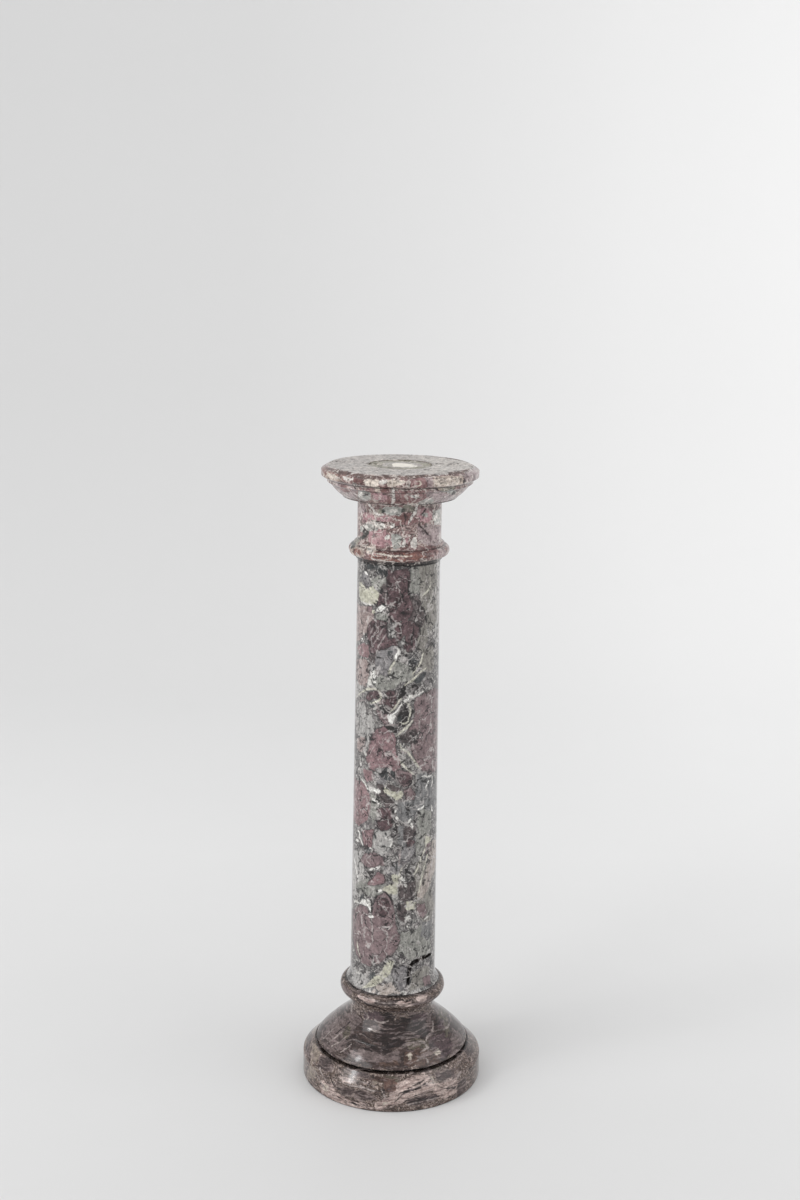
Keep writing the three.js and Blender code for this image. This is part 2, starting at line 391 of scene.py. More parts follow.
def breccia(name, roughness, crumb_tones, crumb_size, crumb_share, mist, mist_tones, kinds,
            streaked, flow, lean, raggedness, lines, contrast):
    """A polished breccia marble: its material, node tree and shader.

    From the ground up it is a mist of two tones with crumbs and finer specks in it, then
    each kind of patch and vein (field, dark tone, light tone, mm that it grows by, any
    rim's tone) inlaid where its field is above zero, then curving threads (mm between them,
    mm wide, share that is left, strength, tone), then fine mottling. Edges wander by about
    raggedness mm, less at a vein and not at all at a crease. The kinds named as streaked
    drift in streaks that follow flow and lean by some degrees, and the rest in clouds."""
    calcite_ior = 1.5
    vein_raggedness = 0.45
    material = bpy.data.materials.new(name)
    material.use_nodes = True
    tree = material.node_tree
    shader = tree.nodes["Principled BSDF"]
    shader.inputs["Roughness"].default_value = roughness
    shader.inputs["IOR"].default_value = calcite_ior
    where = add(tree, "TexCoord").outputs["Object"]
    stirred = stir(tree, where, size=14, reach=4)
    turned = add(tree, "Mapping", {"Vector": stir(tree, where, size=45, reach=5), "Scale": flow,
                                   "Rotation": (0, math.radians(lean), 0)}).outputs[0]
    streaks = grain(tree, turned, size=4.5, detail=5, roughness=0.6)
    clouds = grain(tree, stirred, size=10, detail=6, roughness=0.62)
    drifts = {"streak": between(tree, streaks, low=0.28, high=0.72),
              "cloud": between(tree, clouds, low=0.34, high=0.66)}
    ground = blend(tree, drifts[mist], linear(mist_tones[0]), linear(mist_tones[1]))
    crumbs = crumble(tree, stirred, crumb_size, crumb_tones)
    specks = crumble(tree, stirred, 0.45 * crumb_size, crumb_tones[::-1])
    patchy = grain(tree, where, size=15, detail=3)
    many, few = crumb_share, 0.1 * crumb_share
    ground = blend(tree, between(tree, patchy, low=0.4, high=0.6, start=many, stop=few), ground, crumbs)
    ground = blend(tree, between(tree, patchy, low=0.4, high=0.6, start=few, stop=many), ground, specks)

    edged = turned if mist == "streak" else where
    small = grain(tree, edged, size=3.6, detail=3, roughness=0.7)
    small = between(tree, small, low=0.25, high=0.75, start=-1.5 * raggedness, stop=1.5 * raggedness)
    large = grain(tree, stirred, size=12, detail=3)
    large = between(tree, large, low=0.3, high=0.7, start=-1.3 * raggedness, stop=1.3 * raggedness)
    ragged = add(tree, "Math", [small, large], operation="ADD").outputs[0]
    sheer = grain(tree, edged, size=5, detail=3, roughness=0.7)
    sheer = between(tree, sheer, low=0.3, high=0.5, start=1 - 0.25 * raggedness, stop=1.0)
    for kind, dark, light, grow, *rim in kinds:
        loose = 0.0 if kind.endswith("joint_and_shade_crease") else vein_raggedness if kind.endswith("vein") else 1.0
        inside = add(tree, "Attribute", attribute_name=kind).outputs["Fac"]
        rough = add(tree, "Math", [ragged, loose, inside], operation="MULTIPLY_ADD").outputs[0]
        if rim:
            border = between(tree, rough, low=-2.3 - grow, high=-0.8 - grow, start=0, stop=0.8)
            ground = blend(tree, border, ground, linear(rim[0]))
        cover = between(tree, rough, low=-0.6 - grow, high=0.6 - grow)
        cover = add(tree, "Math", [cover, sheer], operation="MULTIPLY").outputs[0]
        drift = drifts["streak" if kind in streaked else "cloud"]
        ground = blend(tree, cover, ground, blend(tree, drift, linear(dark), linear(light)))

    for seed, (size, width, share, strength, tone) in enumerate(lines, 1):
        line = threads(tree, turned if mist == "streak" else stirred, size, width, share, seed)
        line = add(tree, "Math", [line, strength], operation="MULTIPLY").outputs[0]
        ground = blend(tree, line, ground, linear(tone))
    mottle = grain(tree, where, size=3.6, detail=3, roughness=0.8)
    mottle = between(tree, mottle, low=0.32, high=0.68, start=1 - contrast, stop=1 + contrast)
    ground = add(tree, "HueSaturation", {"Value": mottle, "Color": ground}).outputs[0]
    tree.links.new(ground, shader.inputs["Base Color"])
    return material, tree, shader


base_outline = worn_outline([
    (0, 0), (149.4, 0), [(151.4, 0), (151.4, 2)], (151.4, 36), [(151.4, 39), (149, 40.2)],
    (131.4, 58), (121.9, 58), (121.9, 61.4), (126.8, 61.4), (128.2, 62.8),
    [(122.2, 71.6), (101.4, 89.8)], (100.4, 90), (100.4, 90.9), [(70.6, 113.3), (70.6, 128.3)],
    (70.6, 139.9), (73.4, 139.9), (77.2, 148.7), [(83.5, 148.9), (86.6, 152.3)],
    [(90.6, 159.1), (86.6, 165.9)], [(83.5, 169.3), (79.3, 169.5)], (79.3, 170.9), (0, 170.9),
], wear=0.55, spacing=1.7)
base_stone = turned_stone(base_outline, around=440, seed=11,
                          dents=((-38, 38, 4, 3, 1.2), (61, 40, 5, 3, 1.4), (140, 41, 6, 4, 1.6),
                                 (-150, 2, 7, 4, 1.5), (17, 62, 3, 2, 0.9), (-118, 63, 4, 2, 1.2)))
base_sheet = stone_sheet(base_stone, warp=1.0, seed=12)

# Broken pieces and bands, as corners in the photograph's pixels, by kind.
base_patches = {
    "taupe": [
        [(322, 1030), (332, 1018), (344, 1012), (356, 1012), (362, 1020), (352, 1034), (346, 1048),
         (332, 1052), (322, 1044)],
        [(350, 1050), (366, 1048), (384, 1052), (400, 1054), (400, 1062), (380, 1062), (362, 1060),
         (352, 1056)],
        [(408, 1014), (420, 1011), (430, 1014), (432, 1022), (420, 1020), (408, 1020)],
        [(452, 1028), (462, 1034), (463, 1044), (456, 1054), (447, 1058), (450, 1042)],
        oval(436, 1006, 4, 7, -20), oval(346, 990, 3, 8, -38),
        [(358, 996), (372, 999.5), (388, 1002), (404, 1003), (418, 1001), (430, 997), (432, 1000),
         (418, 1005), (402, 1006.5), (386, 1006), (370, 1003), (358, 1000)],
    ],
    "umber": [
        [(384, 1020), (404, 1018), (426, 1020), (430, 1030), (424, 1040), (404, 1046), (384, 1044),
         (372, 1038), (380, 1030)],
        [(366, 1012), (384, 1013), (398, 1016), (396, 1021), (378, 1020), (366, 1018)],
        oval(396, 1003, 20, 3), oval(352, 1040, 8, 4, 20), oval(376, 1050, 14, 3, 8),
    ],
    "plum": [
        [(431, 1036), (444, 1034), (452, 1042), (450, 1054), (442, 1058), (434, 1052), (430, 1044)],
        oval(373, 1017, 11, 5, 10), oval(444, 1024, 7, 6), oval(420, 1016, 8, 3, -12),
    ],
    "olive": [
        [(406, 1041), (414, 1038), (426, 1041), (430, 1048), (420, 1052), (408, 1050)],
        oval(443, 1013, 5, 6, 30), oval(347, 1032, 4, 8, 20), oval(434, 1067, 5, 2, -12),
        [(369, 1078), (384, 1076), (400, 1077), (398, 1083), (384, 1084), (372, 1083)],
    ],
    "beige": [
        [(306, 1044), (313, 1041), (319, 1050), (320, 1060), (312, 1064), (306, 1056)],
        [(429, 1081), (437, 1080), (441, 1086), (436, 1092), (428, 1090)],
        oval(376, 1082, 6, 2.6, 10), oval(312, 1072, 5, 7, 20),
    ],
    "blush": [
        [(387, 1098), (391, 1090), (397, 1084), (406, 1079), (418, 1076), (430, 1075), (433, 1081),
         (420, 1087), (407, 1093), (396, 1100), (390, 1106), (380, 1110), (374, 1106)],
        [(322, 1082), (331, 1084), (336, 1094), (346, 1100), (362, 1104), (372, 1108), (352, 1108),
         (334, 1101), (322, 1092)],
        [(436, 1083), (448, 1079), (458, 1080), (458, 1092), (448, 1097), (438, 1098), (432, 1092)],
        [(398, 1090), (410, 1085), (424, 1081), (434, 1084), (430, 1092), (416, 1098), (400, 1104),
         (390, 1106)],
        oval(345, 1079, 7, 2.6, 14), oval(366, 999, 9, 2, 14), oval(404, 1004, 10, 2),
        oval(422, 998, 5, 2, -20),
    ],
    "fawn": [
        [(405, 1052), (414, 1049), (424, 1048), (436, 1050), (441, 1054), (436, 1062), (424, 1066),
         (410, 1067), (404, 1062)],
        oval(388, 1064, 10, 2.4, 4), oval(380, 1080, 16, 3, 4),
    ],
    "rust": [
        [(384, 1084), (391, 1081), (397, 1083), (395, 1090), (388, 1092), (383, 1089)],
        oval(416, 1054, 4.5, 3), oval(424, 1060, 5, 2.6, 20), oval(412, 1063, 5, 2),
    ],
    "dark": [
        [(339, 1088), (348, 1087), (354, 1090), (352, 1095), (343, 1094)],
        [(352, 1092), (362, 1091), (371, 1094), (376, 1098), (366, 1101), (355, 1098)],
        [(436, 1073), (446, 1071), (456, 1070), (455, 1076), (445, 1080), (437, 1079)],
        [(458, 1084), (465, 1078), (467, 1088), (462, 1098), (457, 1099)],
        oval(326, 1064, 8, 7, 50), oval(358, 1073, 12, 2.5, 14), oval(422, 1100, 16, 4, -14),
        oval(310, 1034, 3, 8, 15), oval(468, 1048, 5, 8, -25),
    ],
    "cream": [
        oval(409, 1057, 2.2, 3, 20), oval(326, 1088, 2.4, 4, -30), oval(431, 1078, 1.6, 3.6, -40),
        oval(386, 1104, 4, 2, -30), oval(437, 1052, 3, 1.5),
    ],
}

# Veins: width in mm, then their course in the photograph's pixels.
base_veins = {
    "highlight_and_pale_vein": [
        # The first three are painted highlights: along the bead ring and down both sides of the hollow neck.
        (2.6, (377, 1001.5), (386, 1003.5), (396, 1003.8)),
        (3.4, (352.5, 1001), (351, 1008), (352, 1014)),
        (4, (433, 1001), (434.5, 1008), (438, 1013)),
        (3.4, (369, 1029.5), (375, 1031), (383, 1031.8)),
        (2.2, (366, 1012), (368, 1017), (366, 1021)),
        (2.2, (372, 1018), (380, 1022), (388, 1021)),
        (3, (433, 1020), (433.4, 1026), (432.6, 1031), (430, 1035), (426, 1040)),
        (2.4, (433, 1031.5), (439, 1030), (445, 1029), (449, 1024), (451, 1020)),
        (2.4, (328, 1042), (335, 1038), (341, 1033), (347, 1029)),
        (2.4, (331, 1047), (338, 1043), (345, 1037)),
        (2, (324, 1038), (330, 1032), (336, 1026), (343, 1020)),
        (2, (340, 1052), (346, 1049), (352, 1044)),
        (2, (354, 1039), (362, 1042), (370, 1045)),
        (2.8, (407, 1045), (413, 1042), (421, 1042), (427, 1046), (428, 1051)),
        (2.4, (411, 1064), (416, 1060), (423, 1057), (428, 1059), (427, 1064)),
        (2.6, (420, 1052), (425, 1049), (429, 1046)),
        # This one is a painted highlight along the front arris of the plinth.
        (2.6, (339, 1077), (350, 1079.5), (361, 1082), (374, 1086.5)),
        (2.2, (345, 1083), (356, 1086), (368, 1090), (378, 1091)),
        (3, (428.5, 1074.5), (431, 1078), (434, 1082.5)),
        (2.6, (461, 1071.5), (458.5, 1076), (456, 1081)),
        (2.2, (396, 1098), (410, 1090), (424, 1084), (436, 1082)),
        (2.2, (380, 1088), (383, 1094), (386, 1100)),
        (2.4, (320, 1068), (324, 1077), (329, 1085)),
        (2.2, (314, 1066), (318, 1078), (326, 1090)),
        (2, (334, 1098), (352, 1104), (368, 1107)),
        (2, (400, 1106), (418, 1103), (436, 1098)),
    ],
    "painted_shade_and_dark_vein": [
        # The first three are painted shade and dark reflection in the hollow neck under the bead ring.
        (2.2, (355, 997), (363, 1002), (374, 1006.5), (388, 1008.8), (404, 1008.6)),
        (2.4, (368, 1005), (380, 1010), (394, 1012), (410, 1011.6), (424, 1006)),
        (2, (384, 1016), (396, 1017.5), (410, 1016), (424, 1011)),
        # This one is painted shade in the crease at the top of the bell.
        (2.4, (352.5, 1038), (362, 1042), (374, 1045), (388, 1047), (404, 1046.4)),
        (2, (342, 1045), (350, 1041), (358, 1036)),
        (2, (335, 1034), (343, 1028), (350, 1022)),
        (2.4, (386, 1034), (400, 1038), (416, 1036)),
        (2.4, (407.5, 1089), (414, 1085), (424, 1080)),
        (2.2, (398, 1094), (412, 1089), (428, 1086)),
        (2.4, (412, 1050), (414, 1054), (419, 1056)),
        (2, (330, 1078), (335, 1086), (342, 1092)),
        (2, (380, 1096), (384, 1090), (382, 1085)),
        (2.4, (404, 1104), (420, 1101), (440, 1095)),
        (2.4, (394, 1103), (404, 1094), (417, 1088), (430, 1081)),
        (2.2, (402, 1104), (414, 1097), (431, 1090)),
        (2.4, (438, 1085), (448, 1089), (459, 1086)),
        (2.2, (336, 1096), (350, 1103), (366, 1106)),
        (2, (352, 1066), (366, 1071), (380, 1073)),
    ],
}
base_fields = fields_of(base_sheet, base_patches, base_veins, upside_down=False)
# Painted shade in the quirk under the bell and where the plinth stands on the floor, and the dark joint
# under the shaft.
base_fields["joint_and_shade_crease"] = rings(base_stone, ((59.7, 1.9), (170.2, 0.7), (0.3, 0.9)))
# The darker stone of the bell, from above the quirk to the throat, with wavy ends.
sable_foot, sable_top, sable_wave = 63, 120, 4
base_fields["sable"] = (np.minimum(base_stone["height"] - sable_foot, sable_top - base_stone["height"])
                        + sable_wave * swell(base_stone["points"], 22, 14))

# The kinds, from the ground up: the two tones that each one drifts between, the mm that it
# grows by, and the tone of a rim if it has one. The creases are the dark joints between blocks
# and painted shade where mouldings meet and under their overhangs.
base_kinds = [
    ("sable", "150e0d", "4a3b38", 0.5),
    ("taupe", "423635", "7d706e", 0.5),
    ("umber", "120b0a", "2f2321", 0.9),
    ("plum", "33272a", "5c4c4f", 0.4),
    ("olive", "39332c", "655d51", 0.2),
    ("beige", "675c55", "a09488", 0.5),
    ("blush", "69534f", "d9c7bf", 0.9),
    ("fawn", "291b17", "624d44", 0.5),
    ("rust", "3f2d29", "6c554d", 0.2),
    ("dark", "2a2121", "584b49", 0.4, "8d7f7a"),
    ("cream", "9a9084", "d3c9bd", 0.3),
    ("highlight_and_pale_vein", "6b5f5c", "b0a6a1", 0.3),
    ("painted_shade_and_dark_vein", "0f0b0c", "2a2222", 0.3),
    ("joint_and_shade_crease", "0b0908", "151110", 0.2),
]
# Dark marble, level-grained: brown-violet streaks that lean a little, pink-beige bands in
# them, and a polish that shows the windows but has gone a shade duller than the shaft's.
base_material, tree, shader = breccia(
    "dark_breccia_marble_polished", roughness=0.12,
    crumb_tones=["55473f", "2a201e", "73645f", "3a2f2c", "988980", "45382f", "201817", "b9aaa2", "54473f"],
    crumb_size=3.0, crumb_share=0.8, mist="streak", mist_tones=("2a1f1d", "7d6c65"), kinds=base_kinds,
    streaked=("sable", "taupe", "umber", "blush", "fawn", "plum", "dark"), flow=(0.25, 0.25, 1.5), lean=14,
    raggedness=2.1, contrast=0.48,
    lines=[(13, 0.9, 0.35, 0.45, "9b8d8a"), (6, 0.7, 0.3, 0.35, "857778"), (8, 0.9, 0.4, 0.5, "140e0e")])
shader.inputs["Specular IOR Level"].default_value = 0.38

base = put_piece("base_block", base_stone, base_fields, base_material)
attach(base, "root")
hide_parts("base")

# Shaft: one drum of breccia marble, broken violet and mauve stone healed with grey-green
# and cream calcite. It narrows upwards, flares at its foot, is polished all round, and
# stands between the base and the capital on thin beds.
shaft_outline = worn_outline([
    (0, 171.2), (77.8, 171.2), (78.6, 172), [(71.8, 180.7), (71.8, 191.7)], (66.6, 899),
    (65.8, 899.8), (0, 899.8),
], wear=0.4, spacing=1.9)
shaft_stone = turned_stone(shaft_outline, around=236, seed=21)
shaft_sheet = stone_sheet(shaft_stone, warp=0.9, seed=22)

# Broken pieces and healed ground, as corners in the photograph's pixels, by kind.
shaft_patches = {
    "ash": [
        # This strip down the right edge is a painted reflection: the pale sheen of the polish at a grazing
        # angle.
        [(437, 563), (442, 563), (441, 645), (435, 640), (436, 600)],
        [(402.5, 635), (404.5, 632.5), (405, 637), (404, 640), (406, 642), (403, 644), (400.5, 642.5),
         (401.5, 639)],
        [(356, 680), (361, 684), (366, 688), (362, 693), (358, 697), (355, 697)],
        [(373, 832), (378, 829.5), (383.5, 831.5), (388, 830), (391, 836), (393, 841.5), (391.5, 848),
         (386.5, 852.5), (381.5, 856.5), (377, 852), (373.5, 846), (373, 839)],
        [(375, 771), (380, 773), (384, 780), (386, 784), (382, 784), (377, 778)],
        [(391, 894.5), (397.5, 893), (396, 900), (394, 905.5), (396, 911.5), (392.5, 916), (391, 909),
         (392, 901.5)],
        [(388, 974.5), (392.5, 973), (394, 981), (391, 982.5), (386.5, 982)],
        [(352, 966), (364, 974), (369, 983), (362, 990), (355, 984), (351, 976)],
        [(356, 717), (364, 714), (371, 716), (374, 726), (370, 737), (366, 748), (360, 738), (356, 728)],
        [(358, 700), (364, 703), (366, 712), (360, 716), (356, 712)],
        [(353, 850), (361, 852), (363, 862), (364, 885), (363, 896), (353, 894), (352, 870)],
    ],
    "sage": [
        [(372, 580), (380, 576.5), (386, 578), (385, 584), (381, 589), (376, 587), (371, 590)],
        [(376, 614), (381, 613), (387, 613.5), (386.5, 620), (380, 622), (376, 619)],
        [(416.5, 833.5), (423, 836), (424.5, 844), (421.5, 853.5), (417, 856), (416.5, 846)],
        [(419, 808), (431, 810), (431, 832), (422, 836), (417, 828)],
        [(394.5, 940), (403.5, 933), (414, 930), (422, 924.5), (429.5, 933), (430.5, 951.5), (424, 955.5),
         (414, 957), (411, 961.5), (402, 954.5), (396, 948.5)],
        [(372, 793), (378, 800), (382, 806), (378, 812), (373, 822), (370, 812), (371, 800)],
        [(411, 566), (419, 566), (420, 580), (420, 591), (416, 594), (412, 592), (411, 580)],
        [(356, 884), (368, 878), (374, 886), (386, 884), (384, 893), (371, 896), (358, 892)],
        [(400, 662), (412, 668), (414, 678), (406, 682), (396, 680), (393, 670)],
        [(384, 672), (388, 666), (394, 660), (402, 661), (404, 671), (402, 681), (394, 688), (382, 690),
         (373, 687), (377, 679)],
    ],
    "steel": [
        [(417, 775), (424, 774), (432, 775), (436, 780), (436, 800), (434, 812), (424, 808), (417, 812),
         (411, 822), (399, 822), (396, 812), (399, 804), (408, 801), (416, 798)],
        [(399, 826), (408, 830), (416, 840), (412, 852), (404, 850), (398, 842)],
        [(424, 920), (431, 912), (432, 930), (428, 940), (420, 936)],
    ],
    "olive": [
        [(420, 566), (436, 563), (437, 580), (436, 600), (436, 620), (430, 630), (424, 620), (421, 605),
         (421, 592)],
        [(419, 620), (427, 620), (428, 640), (424, 650), (419, 652), (417, 645), (418, 632)],
        [(424, 650), (433, 643), (434, 668), (427, 672), (420, 669), (420, 661)],
        [(417, 862), (424, 860), (428, 868), (426, 884), (418, 900), (413, 898), (414, 880)],
        [(417, 896), (430, 886), (434, 905), (431, 920), (424, 922), (418, 915), (415, 905)],
        [(412.5, 974.5), (422.5, 967), (429.5, 968.5), (430.5, 981), (414, 990), (408, 991), (410, 981)],
    ],
    "beige": [
        [(431, 841), (436, 839), (436, 861), (431.5, 878), (427, 890), (422, 900), (417, 896), (421.5, 882),
         (427, 868), (429.5, 855)],
        [(378, 984.5), (391, 983), (394, 989), (399, 993), (383.5, 995), (373, 992)],
        [(357, 610), (364, 612), (368, 618), (366, 628), (360, 634), (357, 626)],
    ],
    "lilac": [
        [(363, 572), (368, 574), (370, 580), (371, 586), (367, 586), (363.5, 580), (362, 575)],
        [(376.5, 652.5), (381, 651), (386, 651), (391, 647.5), (397, 646), (398.5, 648), (397, 654),
         (394, 659.5), (391, 665), (389, 672), (386, 676), (382, 674.5), (378, 670), (376, 663),
         (374.5, 657)],
        [(375, 776), (381, 777), (386, 781), (384, 785), (377, 783)],
        [(402.5, 848), (415, 846), (415, 853.5), (409, 861.5), (402.5, 861.5), (401.5, 854)],
        [(383.5, 866.5), (391.5, 866.5), (395.5, 861.5), (401.5, 865.5), (403.5, 872), (398.5, 874),
         (388.5, 874)],
        [(394, 968.5), (403.5, 967), (406.5, 964), (408, 974.5), (405, 989), (399, 989), (395, 981),
         (392, 974.5)],
        [(420, 700), (428, 694), (436, 690), (437, 700), (430, 708), (422, 712)],
    ],
    "rose": [
        [(356, 604), (363, 606), (370, 608), (374, 611), (374, 617), (372, 626), (366, 632), (360, 640),
         (355, 640)],
        [(356, 660), (366, 658), (370, 664), (369, 675), (365, 686), (359, 684), (356, 672)],
        [(357, 738), (364, 738), (366, 746), (361, 752), (357, 748)],
        [(371, 741), (375, 735), (376, 744), (371, 752), (368, 748)],
        [(362, 612), (369, 614), (370, 624), (364, 628)],
    ],
    "pink": [
        [(360, 646), (365, 644), (368, 645.5), (368.5, 655), (367, 658), (362, 657), (358.5, 654),
         (357.5, 648)],
        [(363, 769), (372, 772), (375, 777), (372, 781), (367, 780), (363.5, 775)],
        [(354, 777), (361, 781), (365, 785), (369, 793), (370.5, 799), (370.5, 806), (369.5, 813),
         (367, 819), (360, 824), (353, 822)],
    ],
    "plum": [
        [(376, 731), (384, 727), (388, 730), (392, 733.5), (395.5, 738.5), (394.5, 745), (396, 751),
         (399, 760), (399, 768), (395, 771), (385, 771), (376, 770), (369, 768), (367, 758), (369, 750),
         (372, 742)],
        [(362.5, 831.5), (367.5, 829.5), (372.5, 830.5), (372.5, 836), (371.5, 841), (371.5, 846),
         (367, 847), (363.5, 844), (362.5, 837.5)],
        [(370, 881.5), (374.5, 878), (378.5, 873.5), (384, 874.5), (384.5, 880.5), (382.5, 884),
         (371.5, 884.5), (368.5, 883.5)],
    ],
    "mauve": [
        [(353, 911), (360, 905), (366, 908.5), (371, 921), (372, 936), (371.5, 959), (369.5, 965),
         (362, 962), (357, 955), (353, 936)],
        [(416, 698), (424, 694), (431, 691), (440, 688), (441, 720), (440, 752), (438, 769), (428, 772),
         (421, 769), (415, 760), (412, 750), (411, 742), (408, 737), (410, 730), (415, 722), (416, 712),
         (414, 705)],
        [(377, 710.5), (384, 713), (387.5, 716), (387.5, 723), (385, 724), (381, 718.5)],
        [(379.5, 700), (385, 698.5), (385, 704), (380, 704)],
        [(405, 790), (411.5, 787.5), (415, 794), (413, 799.5), (407.5, 798.5), (404.5, 794)],
        [(400, 571), (405, 570), (408, 576), (407, 584), (408, 589), (404, 591), (400, 586), (398, 579)],
        [(374, 903), (379, 896), (386, 894), (391, 900), (394, 912), (396, 924), (399, 936), (398, 946),
         (392, 954), (384, 961), (376, 962), (372, 950), (373, 930), (373, 914)],
        [(417, 905), (424, 904), (427, 911), (423, 918), (418, 914)],
        [(423, 978), (430, 976), (430, 983), (425, 984)],
        [(365, 853.5), (373, 852.5), (382, 857.5), (384.5, 863.5), (373, 867.5), (365, 864), (361, 860)],
        [(398, 770), (405, 771), (411, 773), (411.5, 781), (409.5, 785.5), (403.5, 784), (398.5, 781),
         (396.5, 777)],
        [(425.5, 843.5), (430.5, 842.5), (431, 849.5), (427.5, 853.5), (425, 850.5)],
        [(368.5, 607), (371.5, 607.5), (371, 610.5), (368, 610)],
    ],
    "dusk": [
        [(381, 588), (386, 582), (387.5, 590), (386.5, 602), (384.5, 603), (383.5, 597), (381.5, 594)],
        [(410, 597), (417, 595), (420, 600), (423, 608), (425, 616), (424, 625), (418, 630), (412, 628),
         (410, 618)],
        [(389, 784.5), (394.5, 786), (401, 790), (397, 792.5), (391.5, 790), (387.5, 787)],
        [(377, 783.5), (382, 785), (384.5, 791), (387.5, 795.5), (393, 800.5), (394.5, 804.5), (391.5, 807),
         (385, 806), (381, 802), (378.5, 795.5), (377.5, 789)],
        [(398.5, 884), (405, 882.5), (415, 881.5), (415.5, 888), (414.5, 896), (412, 903), (404, 903),
         (398.5, 897)],
        [(405, 828), (413, 826), (416, 834), (410, 842), (403, 840)],
        [(398, 905), (404, 903), (407, 912), (403, 922), (398, 916)],
        [(372, 652), (376, 652), (375, 664), (371, 664), (369, 656)],
        [(400, 735), (408, 731), (416, 728), (417, 736), (416, 746), (409, 744), (402, 742)],
    ],
    "maroon": [
        [(377, 592.5), (381, 594.5), (383.5, 597), (384, 602), (380, 604.5), (377, 605.5)],
        [(387.5, 568), (392, 572), (400, 570), (408, 569), (410, 576), (411, 583), (409, 589), (409, 600),
         (411, 612), (409, 618), (405, 621), (399, 622), (392, 621), (388.5, 617), (387, 607), (387, 598),
         (388, 585)],
        [(368, 627), (373, 620), (380, 622), (386, 622), (387, 628), (387, 634), (388, 640), (395, 639),
         (397, 642), (396.5, 645), (391, 645.5), (386, 648.5), (380, 649), (376, 651), (372, 653),
         (370, 650), (368.5, 644), (367, 636)],
        [(405, 621), (412, 622), (418, 625), (419, 633), (416, 640), (415, 648), (412, 652), (407.5, 650.5),
         (404, 648), (406.5, 644), (406, 636), (400, 628)],
        [(367, 694), (372, 692), (378, 690.5), (380, 693), (379.5, 697), (377.5, 699), (374, 697.5),
         (371, 700), (366.5, 699)],
        [(385.5, 698), (391.5, 698.5), (396, 697), (397, 700.5), (395.5, 705), (392.5, 707), (388.5, 705),
         (385, 703)],
        [(387, 692.5), (395, 692), (396, 695), (388, 696)],
        [(401, 774), (408, 775), (410, 779), (408.5, 783), (403.5, 782), (400, 778)],
        [(376, 810), (382, 807.5), (390, 807.5), (392, 811.5), (391.5, 819), (391, 825), (388, 829),
         (382, 831), (378, 827), (377, 822), (381, 818)],
        [(407, 841.5), (412.5, 840), (415.5, 842.5), (411.5, 845.5), (407, 846)],
        oval(383, 907, 6, 9, -8),
        [(398, 622), (405, 624), (405, 634), (400, 640), (396, 636)],
    ],
    "slate": [
        [(363, 562.5), (370, 564), (378, 565), (387, 567), (388, 571), (387, 576.5), (382, 576.5),
         (377, 573), (377, 570), (371, 569.5), (367, 567)],
        [(388, 652), (392, 652), (392, 656), (389, 655)],
        [(370, 666), (374, 668), (375, 671.5), (371, 672), (369, 669)],
        [(409, 658), (416, 655), (417, 662), (413, 666), (408, 664)],
        [(414, 679), (418.5, 676), (424, 671.5), (425.5, 672.5), (422, 680), (416, 683)],
        [(397, 718), (400.5, 713), (401.5, 722), (398, 722.5)],
        [(370, 703), (374, 702), (376, 706), (373, 709), (369.5, 708)],
        [(374.5, 769.5), (382, 769), (388, 768.5), (394.5, 772.5), (394.5, 777.5), (391.5, 781.5),
         (385, 780), (381.5, 776.5), (378, 771.5)],
        [(366.5, 848.5), (370.5, 848.5), (371, 851.5), (369, 854), (365.5, 852.5)],
        [(367.5, 971.5), (371, 970.5), (377, 973), (373, 979.5), (369.5, 978.5)],
        [(362, 893.5), (364.5, 895), (362.5, 898), (360, 900)],
    ],
    "black": [
        [(399, 633), (401.5, 633), (402, 637), (399.5, 636.5)],
        [(404, 684), (408, 680.5), (408.5, 684), (406, 688), (405, 691), (407, 693), (403.5, 697),
         (401, 699.5), (398.8, 698), (400.5, 695)],
        [(411.5, 685), (416, 684), (418, 688), (414, 690.5), (411.5, 688)],
        [(396, 717.5), (400.5, 711.5), (405, 708.5), (407.5, 707.5), (408.5, 713), (411.5, 710),
         (414.5, 711.5), (412, 717.5), (408.5, 723), (402.5, 727.5), (398.5, 727), (401, 722), (402, 716)],
        [(384, 708.5), (386.5, 708), (391, 710.5), (389, 712.5), (383.5, 712)],
        [(385, 726.5), (391, 727), (393.5, 729.5), (398.5, 730), (400, 732), (397.5, 734), (394, 733),
         (391.5, 732), (387.5, 728.5)],
        [(366.5, 872), (368.5, 870.5), (374, 871.5), (374.5, 875.5), (367.5, 876.5)],
    ],
    "cream": [
        [(359.5, 582), (362.5, 583.5), (365, 587), (368.5, 588.5), (371.5, 588), (375, 588.5), (377.5, 592),
         (377.5, 597), (377, 601.5), (373.5, 603.5), (368.5, 604), (363.5, 602.5), (360.5, 600),
         (359, 594)],
        [(372, 609.5), (376, 611), (375, 614), (371.5, 612.5)],
        [(385, 788.5), (390.5, 790), (397, 792.5), (401, 791), (403, 794), (401.5, 799.5), (395.5, 800.5),
         (394.5, 798), (391, 795.5), (385.5, 792)],
        [(384.5, 886.5), (391.5, 885.5), (393.5, 883.5), (393, 880.5), (391.5, 876), (394.5, 874),
         (398.5, 875.5), (399.5, 880), (397.5, 885.5), (396.5, 890.5), (396.5, 894.5), (387.5, 894),
         (382, 890)],
        [(406.5, 901.5), (412, 900), (415, 903), (414.5, 908.5), (410.5, 910), (406.5, 908.5)],
        [(388, 961), (394, 962), (392.5, 967), (388, 974.5), (382, 980), (374, 987), (365, 989.5),
         (361, 991), (370, 981), (379, 974), (385, 965.5)],
        [(425, 834.5), (431, 836.5), (430.5, 840), (425, 842.5)],
    ],
    "white": [
        [(376.5, 608.5), (379, 606.5), (381.5, 604.5), (384.5, 606), (385.5, 607.5), (383, 609.5),
         (381.5, 611.5), (379.5, 612.5), (377.5, 612), (375.5, 610)],
